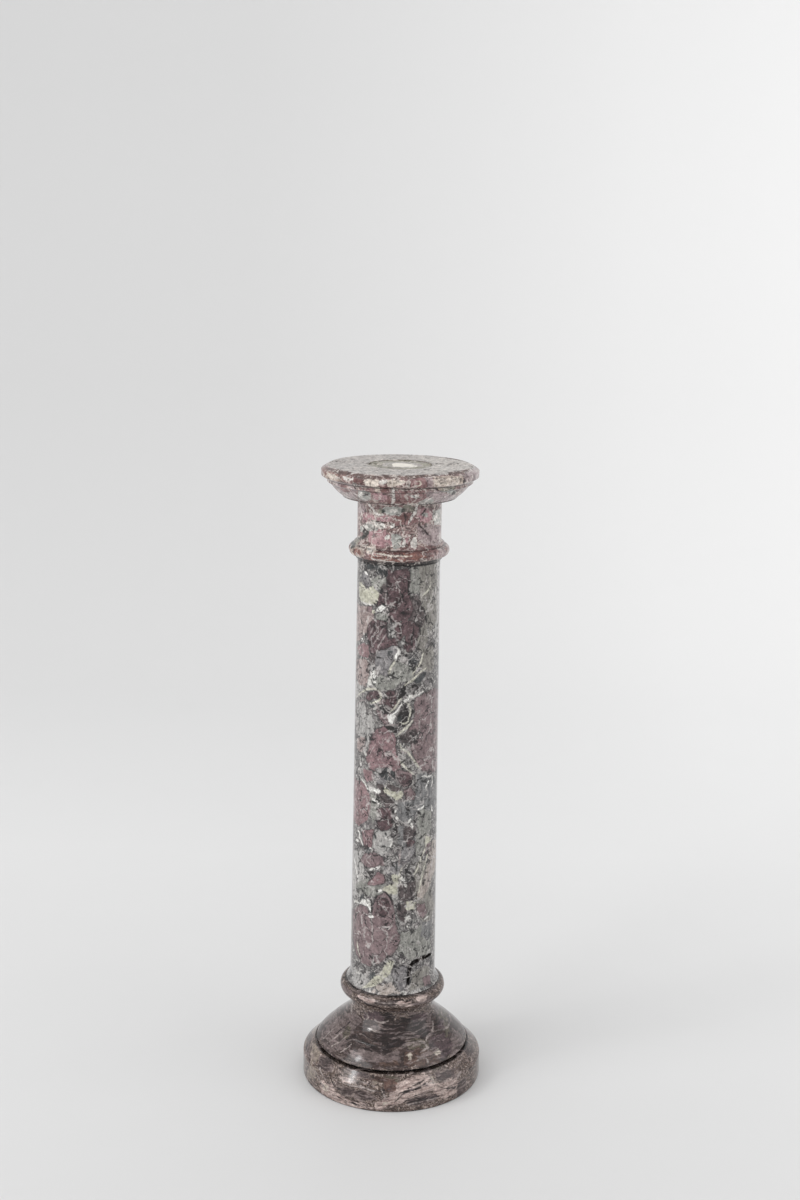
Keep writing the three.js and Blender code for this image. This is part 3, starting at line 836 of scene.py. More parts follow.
        [(376, 670), (376, 676), (374.5, 684), (371.5, 684), (368, 685), (367, 687), (369.5, 678.5),
         (372, 674)],
        [(387.5, 715.5), (391.5, 714.5), (395.5, 716.5), (394.5, 720), (393, 723.5), (390.5, 724),
         (388.5, 721)],
        [(369.5, 786.5), (374.5, 788), (379.5, 791.5), (379, 794), (373.5, 791.5), (370, 790.5)],
        [(399.5, 877.5), (404.5, 876.5), (405, 880.5), (401.5, 882)],
        [(363.5, 897.5), (369, 900), (370.5, 904.5), (371.5, 911.5), (368, 907.5), (363.5, 904.5),
         (357.5, 903), (353.5, 901.5), (353, 898.5), (361, 902)],
        [(405, 916), (409.5, 916), (411, 920), (406.5, 921)],
    ],
}

# Veins: width in mm, then their course in the photograph's pixels.
shaft_veins = {
    "thread_vein": [
        (3, (386.5, 590), (385, 596), (386, 603), (387.5, 614.5), (389, 622)),
        (2.4, (393, 575), (396, 582), (398.5, 588.5), (399.5, 593), (401.5, 599), (403, 601)),
        (2.4, (369, 641), (376, 630), (381, 624)),
        (2.4, (372, 645), (378, 636), (385, 627)),
        (2.4, (377, 647), (382, 640), (387, 633)),
        (2.4, (370, 634), (374, 627)),
        (2.4, (386, 696.5), (391, 697), (396, 695.5), (398, 692)),
        (2.4, (404.5, 709), (404, 714), (404, 719)),
        (2.4, (386, 705), (390, 707), (393, 710)),
        (2.5, (375.5, 705.5), (378.5, 708.5), (381.5, 711)),
        (2.4, (396, 725), (398, 728), (401, 731)),
        (2.4, (411.5, 735), (412, 742), (414, 749), (418, 756)),
        (2.4, (400, 751), (406, 752.5), (410, 754)),
        (2.4, (403, 739), (406, 746), (411, 752)),
        (2.4, (388, 770), (390, 775), (393, 779), (395, 782)),
        (2.4, (396, 769), (395.5, 775), (395.5, 779), (398, 783), (402, 787), (405, 789)),
        (2.4, (370, 796), (370, 803), (369.5, 812), (368.5, 817)),
        (2.4, (371, 915), (372.5, 925), (372, 935), (373.5, 945)),
        (2.4, (388, 944), (392, 936), (396, 934), (397.5, 940)),
        (2.4, (378, 926), (384, 931), (389, 939)),
        (2.4, (362, 930), (366, 926), (370, 930)),
        (2.4, (399, 866), (400.5, 858), (400, 850)),
        (2.4, (374, 704), (379.5, 707), (382, 713.5), (386, 722), (392, 731), (396, 736)),
        (2.4, (356, 706), (359.5, 701), (366, 700.5)),
        (2.4, (382, 706), (388, 708), (391, 713.5), (388, 719)),
        (2.4, (384, 725), (392, 726), (398, 726), (405, 722)),
        (2.4, (433.5, 855), (431, 866), (428, 880), (425, 895)),
        (2.4, (430, 690), (432, 704), (431, 720), (428, 736)),
        (2.4, (421, 712), (419, 726), (422, 740)),
        (2.4, (378, 742), (384, 750), (381, 760)),
    ],
    "cream_vein": [
        (3, (379, 690), (381.5, 694), (380.5, 699), (377, 702), (370, 704)),
        (2.4, (431.5, 582), (430, 586), (427.5, 590.5), (424.5, 594), (422.5, 595.5)),
        (2.4, (424, 653), (421.5, 658), (419.5, 663), (416, 669), (411, 676)),
        (2.4, (357, 697), (361, 692), (367, 688), (373, 688.5), (377, 690), (380, 692)),
        (2.4, (389, 713), (394, 707), (399, 701.5), (402, 697)),
        (2.4, (399, 743), (402, 748), (407, 752), (411, 757), (416, 764), (421, 769)),
        (3.4, (400, 760), (402, 764), (405, 767), (410, 771), (414, 774.5)),
        (2.8, (426, 838), (425.5, 846), (424, 852), (421.5, 858), (418.5, 864), (416.5, 870), (414, 875)),
        (2.5, (395.5, 656), (394.5, 661), (391.5, 666), (390, 671), (388.5, 674)),
        (2.4, (402, 868), (399, 876), (402, 884)),
        (2.5, (357, 941), (358, 950), (360.5, 957)),
        (2.4, (396, 736), (402, 732), (409, 725), (414, 719)),
        (2.4, (398.5, 723), (405, 725), (409.5, 719), (411, 712), (409, 705), (405, 700.5)),
        (2.6, (405, 686.5), (411, 680.5), (419, 673.5), (426, 668)),
        (2.6, (431, 843), (428, 855), (423, 869), (420.5, 881), (419, 892)),
    ],
    "white_vein": [
        (2.4, (360, 599), (363, 602.5), (368, 604.5), (372, 604.5)),
        (3, (364.5, 571), (367.5, 573.5)),
        (3, (369.5, 577), (372, 579.5)),
        (2.5, (361.5, 638.5), (364, 640.5)),
        (2.4, (363.5, 631.5), (364.5, 634.5)),
        (3.6, (398, 647), (399.5, 652), (396.5, 656), (394.5, 660)),
        (2.5, (410, 663.5), (411.5, 665)),
        (4, (389, 717), (396, 711), (400.5, 706), (406, 701), (409, 697), (411.5, 696), (412.5, 697.5),
         (416, 695), (421, 692), (425, 690)),
        (4, (365, 753), (367, 756)),
        (3, (360.5, 762.5), (361.5, 765.5)),
        (3, (361.5, 778.5), (364.5, 782), (367, 787), (369.5, 791)),
        (3.6, (372.5, 799), (375, 802)),
        (3.6, (377, 801.5), (379, 804.5)),
        (2.6, (394.5, 810), (394.5, 813)),
        (3, (395.5, 817), (398, 820)),
        (3.4, (422, 776.5), (427, 777), (432, 774.5)),
        (2.6, (432, 775), (432.5, 782), (431, 786)),
        (3, (429, 780), (427, 785), (425, 790)),
        (3, (431, 805), (431.5, 809), (432, 812)),
        (3.4, (418, 809.5), (421.5, 808.5), (424, 806)),
        (3.6, (408, 823), (411, 820)),
        (3, (411.5, 824), (412, 829)),
        (3.6, (357.5, 829.5), (360, 831), (359.5, 836), (361, 841), (363.5, 847)),
        (4, (356, 840.5), (359, 841)),
        (3, (370, 848), (372, 849.5), (372, 853)),
        (3, (385, 837.5), (388, 839.5), (391, 840.5)),
        (2.4, (392.5, 843), (391.5, 849)),
        (4, (354, 858.5), (355.5, 866), (357, 874), (358.5, 882)),
        (3.6, (369.5, 868.5), (373, 868.5), (377, 868.5), (380, 866)),
        (3, (404, 882.5), (407.5, 887)),
        (4, (378.5, 891.5), (382.5, 890)),
        (3.4, (407, 926), (409, 928)),
        (4, (369, 916), (373, 917)),
        # This one is a painted highlight on the flare of the foot.
        (2.5, (356.5, 971.5), (360, 974)),
        (2.4, (424, 919.5), (427, 917.5), (429, 916)),
    ],
    "slate_vein": [
        (3, (436, 586), (434, 594), (432, 602)),
        (2.4, (366.5, 733), (366.5, 740), (365, 746), (361, 749), (359.5, 752)),
        (2.4, (396.5, 862), (396.5, 868), (396.5, 872)),
        (3.6, (374, 832.5), (375.5, 836), (377, 839)),
        (3, (385.5, 833), (386.5, 835)),
        (3, (430.5, 828), (430, 834), (430, 837)),
        (2.4, (397, 918), (398.5, 926), (400, 934)),
        (2.6, (412, 917), (412.5, 924), (411, 929)),
        (2.4, (411, 977), (409, 983), (408, 990)),
        (2.4, (359, 710), (360, 722), (358, 734)),
    ],
    "crack_vein": [
        (6, (430.5, 954), (423, 957.5), (414, 960.5), (410.5, 966), (408, 972), (407.5, 988)),
        (6.4, (431, 954), (425, 957), (418, 959.5)),
    ],
    "black_vein": [
        (3, (408, 577), (410, 583), (409, 590), (410, 594)),
        (2.4, (421.5, 605), (424, 611), (426, 617), (427.5, 624)),
        (2.4, (408.5, 608.5), (408.5, 611)),
        (2.4, (368, 639.5), (369, 643), (369.5, 645)),
        (3, (413, 626), (412.5, 634), (411, 640), (412.5, 648)),
        (3, (401, 654.5), (403.5, 655)),
        (3, (405, 654), (407.5, 655)),
        (2.4, (407, 767), (411, 770.5)),
        (3, (392.5, 809), (392.5, 812)),
        (3, (393.5, 815.5), (393.5, 818)),
        (3, (392.5, 820), (392.5, 822)),
        (3, (417.5, 812), (420, 814)),
        (2.4, (406, 807), (409, 811)),
        (3, (413, 820), (415, 822)),
        (3, (391, 883), (392, 886.5)),
        (3, (398.5, 879.5), (399.5, 881)),
        (4, (404, 870), (407, 871.5), (405.5, 873.5)),
        (4, (408.5, 872.5), (411.5, 874)),
        (3.4, (406, 877), (408.5, 879)),
        (3.4, (412, 876), (413.5, 880)),
        (2.4, (377.5, 889), (378, 892)),
        (2.4, (383.5, 891.5), (388, 894.5), (391, 899), (392, 904.5)),
        (2.4, (370, 898.5), (371, 903), (371.5, 909), (371.5, 915)),
        (4, (409.5, 912), (413.5, 910)),
        (3, (407.5, 923), (410, 923.5)),
        (3.6, (399, 957), (400.5, 960.5)),
        (3, (401, 961), (402.5, 961.5)),
        (3, (384, 962), (385.5, 965)),
    ],
}
shaft_fields = fields_of(shaft_sheet, shaft_patches, shaft_veins, upside_down=True)
# Dark rings at the joints with the base and the capital, with painted shade under the capital's bead ring.
shaft_fields["joint_and_shade_crease"] = rings(shaft_stone, ((171, 1.0), (900, 3.0)))

# The violet stone is oldest, so the calcite that healed it lies over it.
shaft_kinds = [
    ("ash", "807e7c", "bab7b4", 0.6),
    ("sage", "61615c", "a6a59f", 0.8),
    ("steel", "474748", "8f8e8e", 0.8),
    ("olive", "55514c", "9f9b94", 0.8),
    ("beige", "857b74", "b9afa8", 0.6),
    ("lilac", "5e5b5d", "959292", 0.6, "464244"),
    ("rose", "776663", "b5a7a3", 0.8),
    ("pink", "6c5455", "987d7f", 0.4),
    ("plum", "675255", "95797b", 0.9, "3a3233"),
    ("mauve", "615052", "8d7a7b", 0.9, "362d2e"),
    ("dusk", "282323", "675c5c", 0.6),
    ("maroon", "2b1f21", "6e585b", 0.8, "1c1516"),
    ("slate", "1a1d1e", "525455", 0.6),
    ("cream", "969384", "cac8b7", 0.5),
    ("thread_vein", "706565", "aaa09e", 0.1),
    ("white", "bbb8b2", "e9e8e4", 0.4),
    ("slate_vein", "202324", "4a4b4b", 0.2),
    ("black", "0f0d0e", "2b2726", 0.4),
    ("cream_vein", "a9a698", "dbd8cb", 0.3),
    ("white_vein", "bdbab4", "eeece8", 0.3),
    ("black_vein", "0f0d0e", "252121", 0.4),
    ("crack_vein", "080707", "171312", 1.0),
    ("joint_and_shade_crease", "0b0908", "1c1716", 0.2),
]
# Grey crushed ground with violet islands and cream calcite, drifting upwards on the right,
# under a clear polish. The old crack at the foot is open and rough: it mirrors nothing.
shaft_material, tree, shader = breccia(
    "breccia_marble_polished", roughness=0.12,
    crumb_tones=["666463", "272526", "8f8d8b", "454243", "b5b2ae", "383436", "6f686a", "1a1819", "cfccc7",
                 "555152"],
    crumb_size=5, crumb_share=0.65, mist="cloud", mist_tones=("444041", "918d8a"), kinds=shaft_kinds,
    streaked=("sage", "steel", "olive", "beige", "ash"), flow=(1, 1, 0.16), lean=8,
    raggedness=1.0, contrast=0.36,
    lines=[(30, 1.2, 0.5, 0.6, "c3bebb"), (13, 0.8, 0.4, 0.45, "aaa3a1"), (20, 1.1, 0.5, 0.9, "151314"),
           (9, 0.7, 0.3, 0.55, "221f20")])
crack = add(tree, "Attribute", attribute_name="crack_vein").outputs["Fac"]
shine = between(tree, crack, low=-1.0, high=0.0, start=0.5, stop=0.0)
tree.links.new(shine, shader.inputs["Specular IOR Level"])
shaft = put_piece("shaft_drum", shaft_stone, shaft_fields, shaft_material)
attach(shaft, "root")
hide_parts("shaft")

# Capital: one block of redder breccia, turned to a bead ring, a neck and a moulded slab
# head. The top face is flat, honed and dusty, with a sunk seat around its old hole.
capital_outline = worn_outline([
    (0, 900.1), (69.4, 900.1), (71.4, 905.1), (72.6, 905.3), [(78.2, 906), (80, 909.8)],
    [(82, 914.1), (80, 918.4)], [(78.2, 922.4), (72.4, 923.1)], (72.4, 926.7), (67.4, 929.7),
    (67.4, 989.6), [(67.4, 999.6), (77.4, 999.6)], (91.6, 999.6), (91.6, 1001.2),
    [(103.6, 1009), (111.6, 1020.8)], (116.6, 1023.4), (116.6, 1027.6), (125.9, 1033.4),
    (125.9, 1042.8), [(120, 1046.9), (113.6, 1050)], (50, 1050), (50, 1049), (20.3, 1049),
    (20.3, 1018.7), (0, 1018.7),
], wear=0.45, spacing=1.7)
capital_stone = turned_stone(capital_outline, around=350, seed=31,
                             dents=((-101, 1048, 8, 5, 2.4), (98, 1048, 9, 5, 2.8), (86, 1036, 7, 5, 2.2),
                                    (-84, 914, 12, 8, 2.6), (8, 1048.5, 5, 2.5, 0.9), (-27, 1047, 7, 3, 1.2),
                                    (38, 1048, 6, 2.5, 1.0), (-62, 1036, 5, 3, 1.1), (70, 918, 6, 4, 1.4),
                                    (29, 1010, 3, 3, 1.2), (170, 1044, 12, 6, 2.4), (-140, 1037, 7, 4, 1.6)))
capital_sheet = stone_sheet(capital_stone, warp=0.9, seed=32)

# Broken pieces, as corners in the photograph's pixels, by kind.
capital_patches = {
    "lilac": [
        [(334, 481), (344, 484), (354, 488), (357, 496), (352, 500), (342, 493), (334, 486)],
        [(421, 477), (433, 477), (433, 487), (424, 488), (420, 483)],
        [(434, 495), (448, 494), (457, 496), (452, 501), (434, 503)],
        [(464, 470), (474, 467), (479, 472), (477, 480), (468, 485), (462, 481)],
        [(418, 527), (432, 525), (442, 528), (442, 543), (430, 546), (419, 542)],
        oval(397, 537, 5, 5), oval(362, 510, 4, 6), oval(438, 553, 8, 5, -10),
        [(424, 493), (434, 491), (446, 490), (444, 497), (430, 503), (422, 500)],
    ],
    "mauve": [
        [(395, 492), (410, 491), (424, 492), (426, 498), (418, 503), (404, 504), (395, 503)],
        [(411, 478), (421, 477), (427, 482), (425, 488), (412, 488), (408, 483)],
        [(368, 488), (380, 489), (389, 492), (390, 503), (380, 502), (372, 498), (366, 492)],
        [(392, 513), (404, 513), (415, 514), (417, 520), (412, 526), (398, 526), (391, 521)],
        oval(345, 489, 6, 3, 25), oval(430, 552, 9, 6),
    ],
    "maroon": [
        [(351, 473), (358, 475), (366, 478), (365, 486), (356, 485), (350, 479)],
        [(380, 487), (391, 487), (391, 491), (381, 491)],
        [(376, 549), (392, 551), (410, 552), (428, 549), (432, 556), (420, 562), (398, 563), (380, 560)],
        oval(408, 484, 3, 3.4), oval(415, 508, 5, 1.6), oval(408, 541, 2.4, 5.4), oval(403, 518, 9, 4),
        oval(392, 489, 3, 2), oval(360, 556, 5, 3, 30),
    ],
    "brick": [
        [(321, 466), (330, 468), (342, 472), (350, 475), (350, 479), (340, 478), (330, 474), (322, 471)],
    ],
    "dusk": [
        [(328, 467.5), (338, 470), (351, 472.5), (350, 475), (338, 473.5), (328, 471)],
        [(354, 473.5), (366, 475.5), (381, 477), (381, 479.5), (368, 479.5), (355, 477)],
        [(382, 474.8), (392, 475.3), (402, 475.3), (401, 478), (384, 477.8)],
        [(404, 475.8), (420, 475), (436, 473.6), (436, 476), (420, 477.6), (405, 478)],
        [(448, 472), (458, 470.6), (469, 468.4), (468, 471), (458, 474), (448, 475)],
    ],
    "pink": [
        [(370, 532), (378, 529), (386, 530), (391, 535), (392, 544), (384, 548), (374, 546), (369, 540)],
        [(416, 509), (426, 508), (434, 510), (432, 518), (426, 523), (418, 520)],
        [(361, 514), (370, 513), (375, 518), (370, 524), (362, 523)],
        [(372, 494), (380, 492), (386, 497), (384, 502), (376, 500)],
        oval(384, 518, 7, 3), oval(408, 540, 2, 4),
    ],
    "peach": [
        [(323, 473), (330, 476), (340, 479), (342, 482), (334, 481), (325, 477)],
        [(434, 477), (448, 476), (463, 476), (462, 484), (452, 490), (440, 490), (433, 485)],
        [(351, 547), (358, 545), (365, 550), (364, 557), (356, 556), (350, 552)],
        oval(388, 560, 10, 2, 3),
    ],
    "rust": [
        oval(357, 552, 4, 3, 35), oval(398, 560.5, 12, 2), oval(420, 558, 8, 2.6, -8),
        oval(328, 474, 4, 1.6, 20), oval(378, 557, 9, 2.6, 6), oval(408, 555, 9, 2),
        oval(366, 560, 8, 1.6, 14),
    ],
    "olive": [
        oval(452, 488, 3.4, 2.4),
        [(404, 506), (413, 506), (418, 509), (412, 512), (403, 512)],
        oval(355, 541, 4, 4), oval(446, 490, 5, 2.4), oval(380, 511, 4, 2),
    ],
    "cream": [
        [(364, 481), (369, 479), (377, 479.4), (380, 481.6), (378, 484.6), (372, 486.6), (366, 484)],
        [(386, 483), (390, 480), (399, 479.6), (404, 481), (401, 484.6), (394, 486.8), (388, 486)],
        [(434, 483), (440, 479), (449, 478.4), (459, 477.6), (460, 481), (452, 486), (444, 484.4),
         (437, 486)],
        [(365, 548), (372, 547), (377, 551), (372, 554), (366, 553)],
        oval(412, 505, 5.5, 1.2), oval(331, 476.5, 4, 1.2, 20), oval(377, 489, 4, 2, 60),
    ],
    "ash": [
        [(357, 491), (364, 490), (370, 493), (371, 499), (364, 501), (358, 497)],
        [(419, 502), (426, 499), (434, 500), (433, 504), (426, 506), (419, 505)],
        [(433, 510), (441, 509), (442, 524), (435, 524), (432, 517)],
        [(392, 534), (397, 533), (402, 537), (401, 547), (394, 548), (391, 541)],
        [(360, 526), (370, 524), (378, 525), (378, 530), (366, 532), (360, 531)],
        oval(425, 515, 3, 2), oval(452, 492, 5, 2),
        [(384, 507), (394, 506), (402, 508), (401, 515), (390, 515), (384, 512)],
    ],
    "white": [
        oval(348, 478.4, 6, 1.8, 12), oval(356, 472.6, 4.4, 1.3, 10), oval(414, 496.8, 3.4, 1.5),
        oval(379, 526, 6, 2.4, 8), oval(365.5, 527, 3, 3.4), oval(393, 525.4, 2.4, 2.2),
        oval(388, 537, 3, 2.4), oval(403.8, 542.4, 2.4, 4.6, 8), oval(414.4, 542.4, 3.6, 6.8, 6),
        oval(370, 550.4, 4, 1.8, 8), oval(383, 482, 4, 2, -20), oval(394, 510.5, 4, 1.8),
        oval(361, 494, 2.4, 2.4), oval(436, 516, 2, 4, 20),
    ],
    "slate": [
        [(358, 538), (362, 535.5), (366, 533), (370, 532), (369.5, 535), (365, 538), (360, 540)],
        oval(403, 510.4, 2, 1.6), oval(353, 545, 3, 3), oval(384, 511.4, 1.6, 1.6),
    ],
    "chalk": [
        [(414, 457), (440, 458), (462, 461), (474, 465), (464, 469), (444, 472), (424, 473), (430, 467),
         (428, 461)],
    ],
    "black": [
        oval(454, 493, 1.4, 1.6), oval(464.8, 481.4, 1.6, 1.6), oval(409, 485, 1.6, 1),
        oval(367, 495, 1.2, 1.2), oval(413, 508.4, 2.4, 0.8), oval(377, 522, 1.2, 1),
        oval(364, 531, 1.2, 1.2),
    ],
}

# Veins: width in mm, then their course in the photograph's pixels.
capital_veins = {
    "white_vein": [
        (4.6, (392, 487), (392.6, 492), (393.4, 498), (392, 504)),
        (4, (368.5, 505.5), (372, 509), (377, 514.5), (384, 515)),
        (4.4, (432, 497), (427, 501), (421, 505), (417, 510), (413, 515), (410, 520), (408.5, 525)),
        (2.6, (419, 502), (425, 504), (434, 504)),
        (2.4, (360, 507), (361, 514), (363, 520)),
        (2.4, (433, 526), (437, 523), (442, 521)),
        (2.4, (366, 524), (374, 521), (383, 524)),
        (2.4, (371, 559), (384, 561), (398, 562)),
        (2.4, (352, 492), (360, 497), (369, 501)),
        (2.4, (344, 476), (352, 474), (362, 472)),
    ],
    "cream_vein": [
        (2.6, (327, 473), (333, 476), (341, 480)),
        (2.6, (432, 480), (440, 484), (450, 483)),
        (2.6, (386, 483), (396, 483), (406, 481)),
        # This one is a painted highlight along the top of the bead ring.
        (2.4, (376, 553), (392, 556), (412, 556)),
        (2.4, (416, 481), (420, 481), (421, 485), (417, 486.5), (415, 484)),
    ],
    "black_vein": [
        (2.2, (385, 530.5), (393, 528), (400, 525.5), (408, 526), (416, 524)),
        (2, (404, 513), (406, 519), (405, 525)),
        (2, (360, 522), (364, 529), (368, 533)),
        (2, (371, 519), (378, 521), (386, 523)),
        (2, (418, 524), (424, 530), (430, 537)),
        (2, (352, 555), (362, 559), (374, 562)),
        (2, (340, 480), (348, 484), (357, 489)),
        (2, (428, 506), (424, 512), (420, 516)),
        (2, (436, 489), (446, 492), (455, 489)),
    ],
}
capital_fields = fields_of(capital_sheet, capital_patches, capital_veins, upside_down=False)
# Dark rings: the joint and painted shade under the bead ring, and painted shade at its top fillet, under the
# slab, at the band's step and under the rim.
capital_fields["joint_and_shade_crease"] = rings(capital_stone, ((902, 3.6), (923.6, 0.4), (1000, 0.8), (1021.6, 0.5),
                                                 (1029.6, 1.0)))

# The flat top face, the greenish stain in its sunk seat, painted shade along the seat's edge,
# and plaster smeared over the stone beside the fill.
face_limit, face_height = 116, 1046.9
seat_radius, seat_level, seat_edge = 50, 1048, 1.2
stain_radius, stain_half_width = 41, 9
smear_middle, smear_radius, smear_level = 8, 20.5, 1045
radii = np.broadcast_to(capital_stone["radius"], capital_stone["points"].shape[:2])
levels = np.broadcast_to(capital_stone["height"], radii.shape)
ripple = swell(capital_stone["points"], 24, 35)
stained = stain_half_width - np.abs(radii + 3 * ripple - stain_radius)
# Painted shade: a dark ring along the low wall of the seat.
seat_shading = seat_edge - np.abs(radii - seat_radius)
from_smear = np.hypot(capital_stone["points"][..., 0] - smear_middle, capital_stone["points"][..., 1])
capital_fields["face"] = np.minimum(levels - face_height, face_limit - radii)
capital_fields["stain"] = np.where(levels > seat_level, stained, outside)
capital_fields["seat_shade_vein"] = np.where(levels > seat_level, seat_shading, outside)
capital_fields["plaster_vein"] = np.where(levels > smear_level, smear_radius + 2.5 * ripple - from_smear,
                                          outside)

capital_kinds = [
    ("lilac", "7d6c6d", "b5a5a5", 0.6),
    ("mauve", "664949", "997978", 0.8),
    ("maroon", "452c2b", "7e5d5a", 0.6),
    ("brick", "644843", "95766e", 0.6),
    ("pink", "8d6a6e", "bd9a9d", 0.8),
    ("peach", "8d7c73", "c3b4a8", 0.6),
    ("rust", "62413b", "94695f", 0.3),
    ("olive", "68655c", "9f9b8e", 0.3),
    ("cream", "b3a59a", "e0d5ca", 0.8),
    ("ash", "848580", "c0c0bb", 0.5),
    ("white", "bcb7b0", "ebe8e3", 0.4),
    ("slate", "202320", "4c504c", 0.4),
    ("black", "120e0d", "2f2625", 0.3),
    ("cream_vein", "a3988c", "d5ccc1", 0.3),
    ("white_vein", "aca6a1", "dfdbd6", 0.3),
    ("black_vein", "1b1312", "382d2d", 0.2),
    ("joint_and_shade_crease", "0d0a09", "2a2120", 0.1),
    ("face", "989390", "c7c3bf", 0.3),
    ("dusk", "443332", "6c5751", 0.6),
    ("chalk", "a5a19c", "d3cec9", 0.5),
    ("stain", "807d6e", "a3a094", 0.2),
    ("seat_shade_vein", "5f5a52", "7d786a", 0.2),
    ("plaster_vein", "d9d4ca", "efece5", 0.2),
]
# Pink and brick-red stone with chalky cream and white in it. Its mouldings keep a soft
# polish, and the top face is honed and dusty, so it reads pale and flat.
polish, honing = 0.22, 0.55
capital_material, tree, shader = breccia(
    "red_breccia_marble_polished", roughness=polish,
    crumb_tones=["866f6e", "463535", "ab9894", "644e4e", "d2cac1", "574242", "928080", "2f2323", "e0dad2",
                 "745a5b"],
    crumb_size=5, crumb_share=0.6, mist="cloud", mist_tones=("644847", "b0948f"), kinds=capital_kinds,
    streaked=("face",), flow=(1, 0.3, 1), lean=0, raggedness=1.25, contrast=0.38,
    lines=[(26, 1.2, 0.6, 0.7, "d2cac3"), (11, 0.9, 0.4, 0.5, "b9ada8"), (16, 1.1, 0.45, 0.65, "251b1b"),
           (8, 0.7, 0.3, 0.45, "2f2424")])
honed = add(tree, "Attribute", attribute_name="face").outputs["Fac"]
dusty = between(tree, honed, low=-0.5, high=0.5, start=polish, stop=honing)
tree.links.new(dusty, shader.inputs["Roughness"])
capital = put_piece("capital_block", capital_stone, capital_fields, capital_material)
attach(capital, "root")
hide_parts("capital")

# Plaster fill: the old hole in the top face, stopped with a plug of white plaster that was
# trowelled level with the seat. It has dried chalky and matt, and is dirty at its left edge.
fill_outline = worn_outline([
    (0, 1019), (20, 1019), (20, 1049), (0, 1049),
], wear=0.3, spacing=1.2, bed_spacing=1.2)
fill_stone = turned_stone(fill_outline, around=96, seed=41)
fill_material = bpy.data.materials.new("white_plaster_trowelled")
fill_material.use_nodes = True
tree = fill_material.node_tree
shader = tree.nodes["Principled BSDF"]
shader.inputs["Roughness"].default_value = 0.85
dirt_edge, clean_edge = -14 * mm, -12 * mm
where = add(tree, "TexCoord").outputs["Object"]
plaster = blend(tree, grain(tree, where, size=6), linear("d9d3c8"), linear("f0ece4"))
across = add(tree, "SeparateXYZ", [stir(tree, where, size=9, reach=3)]).outputs[0]
dirty = between(tree, across, low=dirt_edge, high=clean_edge, start=1.0, stop=0.0)
tree.links.new(blend(tree, dirty, plaster, linear("a39f98")), shader.inputs["Base Color"])
fill = put_piece("plaster_plug", fill_stone, {}, fill_material)
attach(fill, "root")
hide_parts("plaster_fill")

# Floor: a plain pale studio floor of matt paint that sweeps up into a wall far behind the
# column. It is darker towards the front and lighter towards the back, and both are painted a
# little lighter to the right as painted light, where more daylight reaches them.
floor_half_width = 9.0
floor_front = -6.0
sweep_start = 2.2
sweep_radius = 2.0
wall_height = 6.0
turn = np.linspace(0, np.pi / 2, 33)
sweep_y = np.concatenate([[floor_front], sweep_start + sweep_radius * np.sin(turn),
                          [sweep_start + sweep_radius]])
sweep_z = np.concatenate([[0], sweep_radius * (1 - np.cos(turn)), [wall_height]])
sides = np.array([-floor_half_width, floor_half_width])
sheet_points = np.stack([np.broadcast_to(sides, (len(sweep_y), 2)),
                         np.broadcast_to(sweep_y[:, None], (len(sweep_y), 2)),
                         np.broadcast_to(sweep_z[:, None], (len(sweep_y), 2))], -1).reshape(-1, 3)
k = np.arange(len(sweep_y) - 1) * 2
floor_mesh = bpy.data.meshes.new("floor_sweep")
floor_mesh.from_pydata(sheet_points.tolist(), [], np.stack([k, k + 1, k + 3, k + 2], 1).tolist())
floor_mesh.shade_smooth()
floor_material = bpy.data.materials.new("pale_floor_paint")
floor_material.use_nodes = True
tree = floor_material.node_tree
shader = tree.nodes["Principled BSDF"]
where = add(tree, "TexCoord").outputs["Object"]
across, back, _ = add(tree, "SeparateXYZ", [where]).outputs
worn = between(tree, grain(tree, where, size=260, detail=8), low=0.0, high=1.0, start=-0.06, stop=0.06)
farther = between(tree, back, low=-1.0, high=1.0)
farther_and_worn = add(tree, "Math", [farther, worn], operation="ADD").outputs[0]
paint = blend(tree, farther_and_worn, linear("cecece"), linear("e3e3e3"))
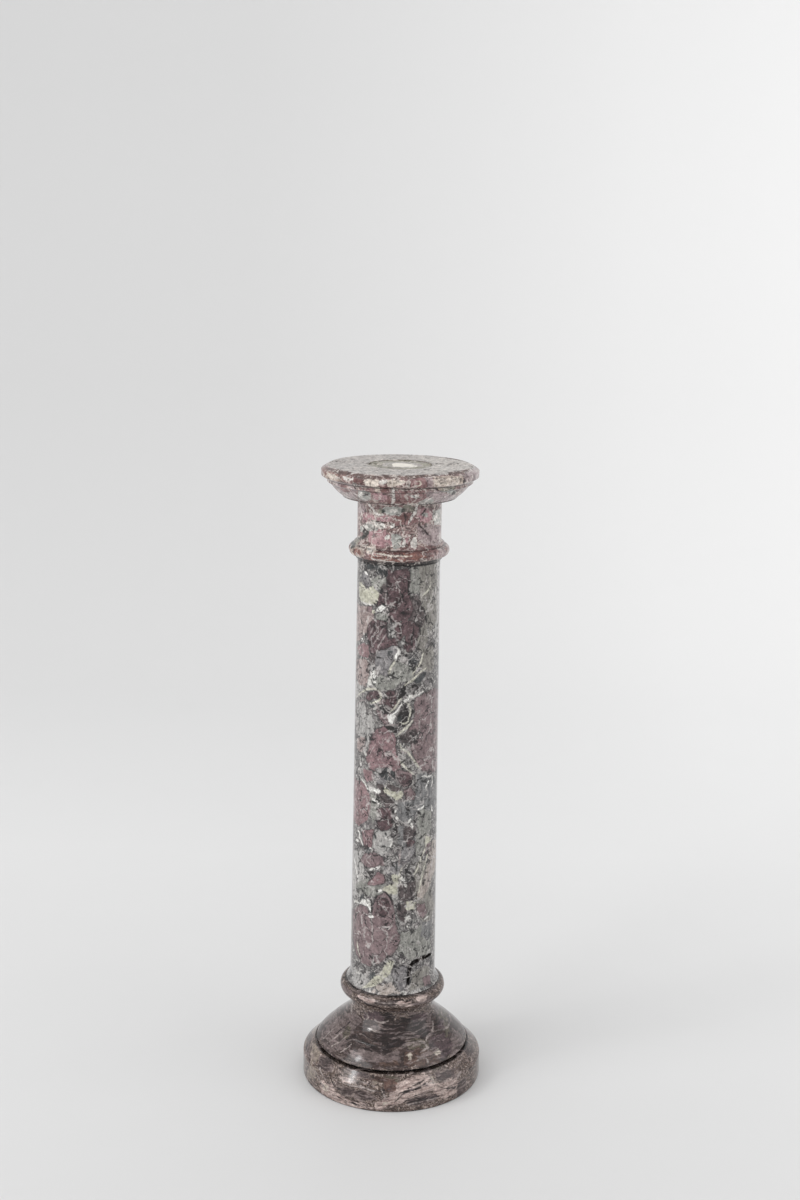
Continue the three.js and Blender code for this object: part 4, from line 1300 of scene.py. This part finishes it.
# Painted light: the floor and the wall are painted lighter to the right.
lit_paint = blend(tree, farther_and_worn, linear("d8d8d8"), linear("ebebeb"))
paint = blend(tree, between(tree, across, low=0.0, high=0.9), paint, lit_paint)
wall = blend(tree, between(tree, across, low=-0.6, high=0.9), linear("d8d8d8"), linear("e2e2e2"))
climbed = between(tree, back, low=sweep_start, high=sweep_start + 0.8 * sweep_radius)
tree.links.new(blend(tree, climbed, paint, wall), shader.inputs["Base Color"])
shader.inputs["Roughness"].default_value = 0.6
floor_mesh.materials.append(floor_material)
floor = bpy.data.objects.new("floor", floor_mesh)
bpy.context.scene.collection.objects.link(floor)

# Light: soft daylight. White all round, a wide bright window at each side in front, the
# left one stronger, so that the shadow falls softly to the right of the base. A small one
# at the left leaves the highlights on the mouldings, and the last one lights only the wall.
world = bpy.data.worlds.new("pale_studio")
bpy.context.scene.world = world
world.use_nodes = True
world.node_tree.nodes["Background"].inputs["Color"].default_value = linear("f3f3f3")
world.node_tree.nodes["Background"].inputs["Strength"].default_value = 0.9


def window(name, spot, aim, wide, tall, watts):
    """An area light of wide by tall metres at spot, turned to face aim."""
    lamp = bpy.data.lights.new(name, "AREA")
    lamp.shape = "RECTANGLE"
    lamp.size = wide
    lamp.size_y = tall
    lamp.energy = watts
    holder = bpy.data.objects.new(name, lamp)
    look = np.array(aim) - np.array(spot)
    level = math.atan2(look[2], math.hypot(look[0], look[1]))
    turn_z = math.atan2(look[1], look[0]) - math.pi / 2
    holder.matrix_world = (Matrix.Translation(spot) @ Matrix.Rotation(turn_z, 4, "Z")
                           @ Matrix.Rotation(math.pi / 2 + level, 4, "X"))
    bpy.context.scene.collection.objects.link(holder)


window("left_window", spot=(-2.1, -1.0, 2.6), aim=(0, 0, 0.1), wide=0.3, tall=0.38, watts=5.2)
window("left_sky", spot=(-3.2, -2.0, 2.6), aim=(0, 0, 0.5), wide=3.0, tall=3.0, watts=74)
window("right_sky", spot=(3.6, -1.2, 2.6), aim=(0, 0, 0.5), wide=3.4, tall=3.4, watts=36)
window("wall_window", spot=(3.2, 1.4, 2.2), aim=(2.8, 4.0, 1.9), wide=1.6, tall=1.6, watts=30)
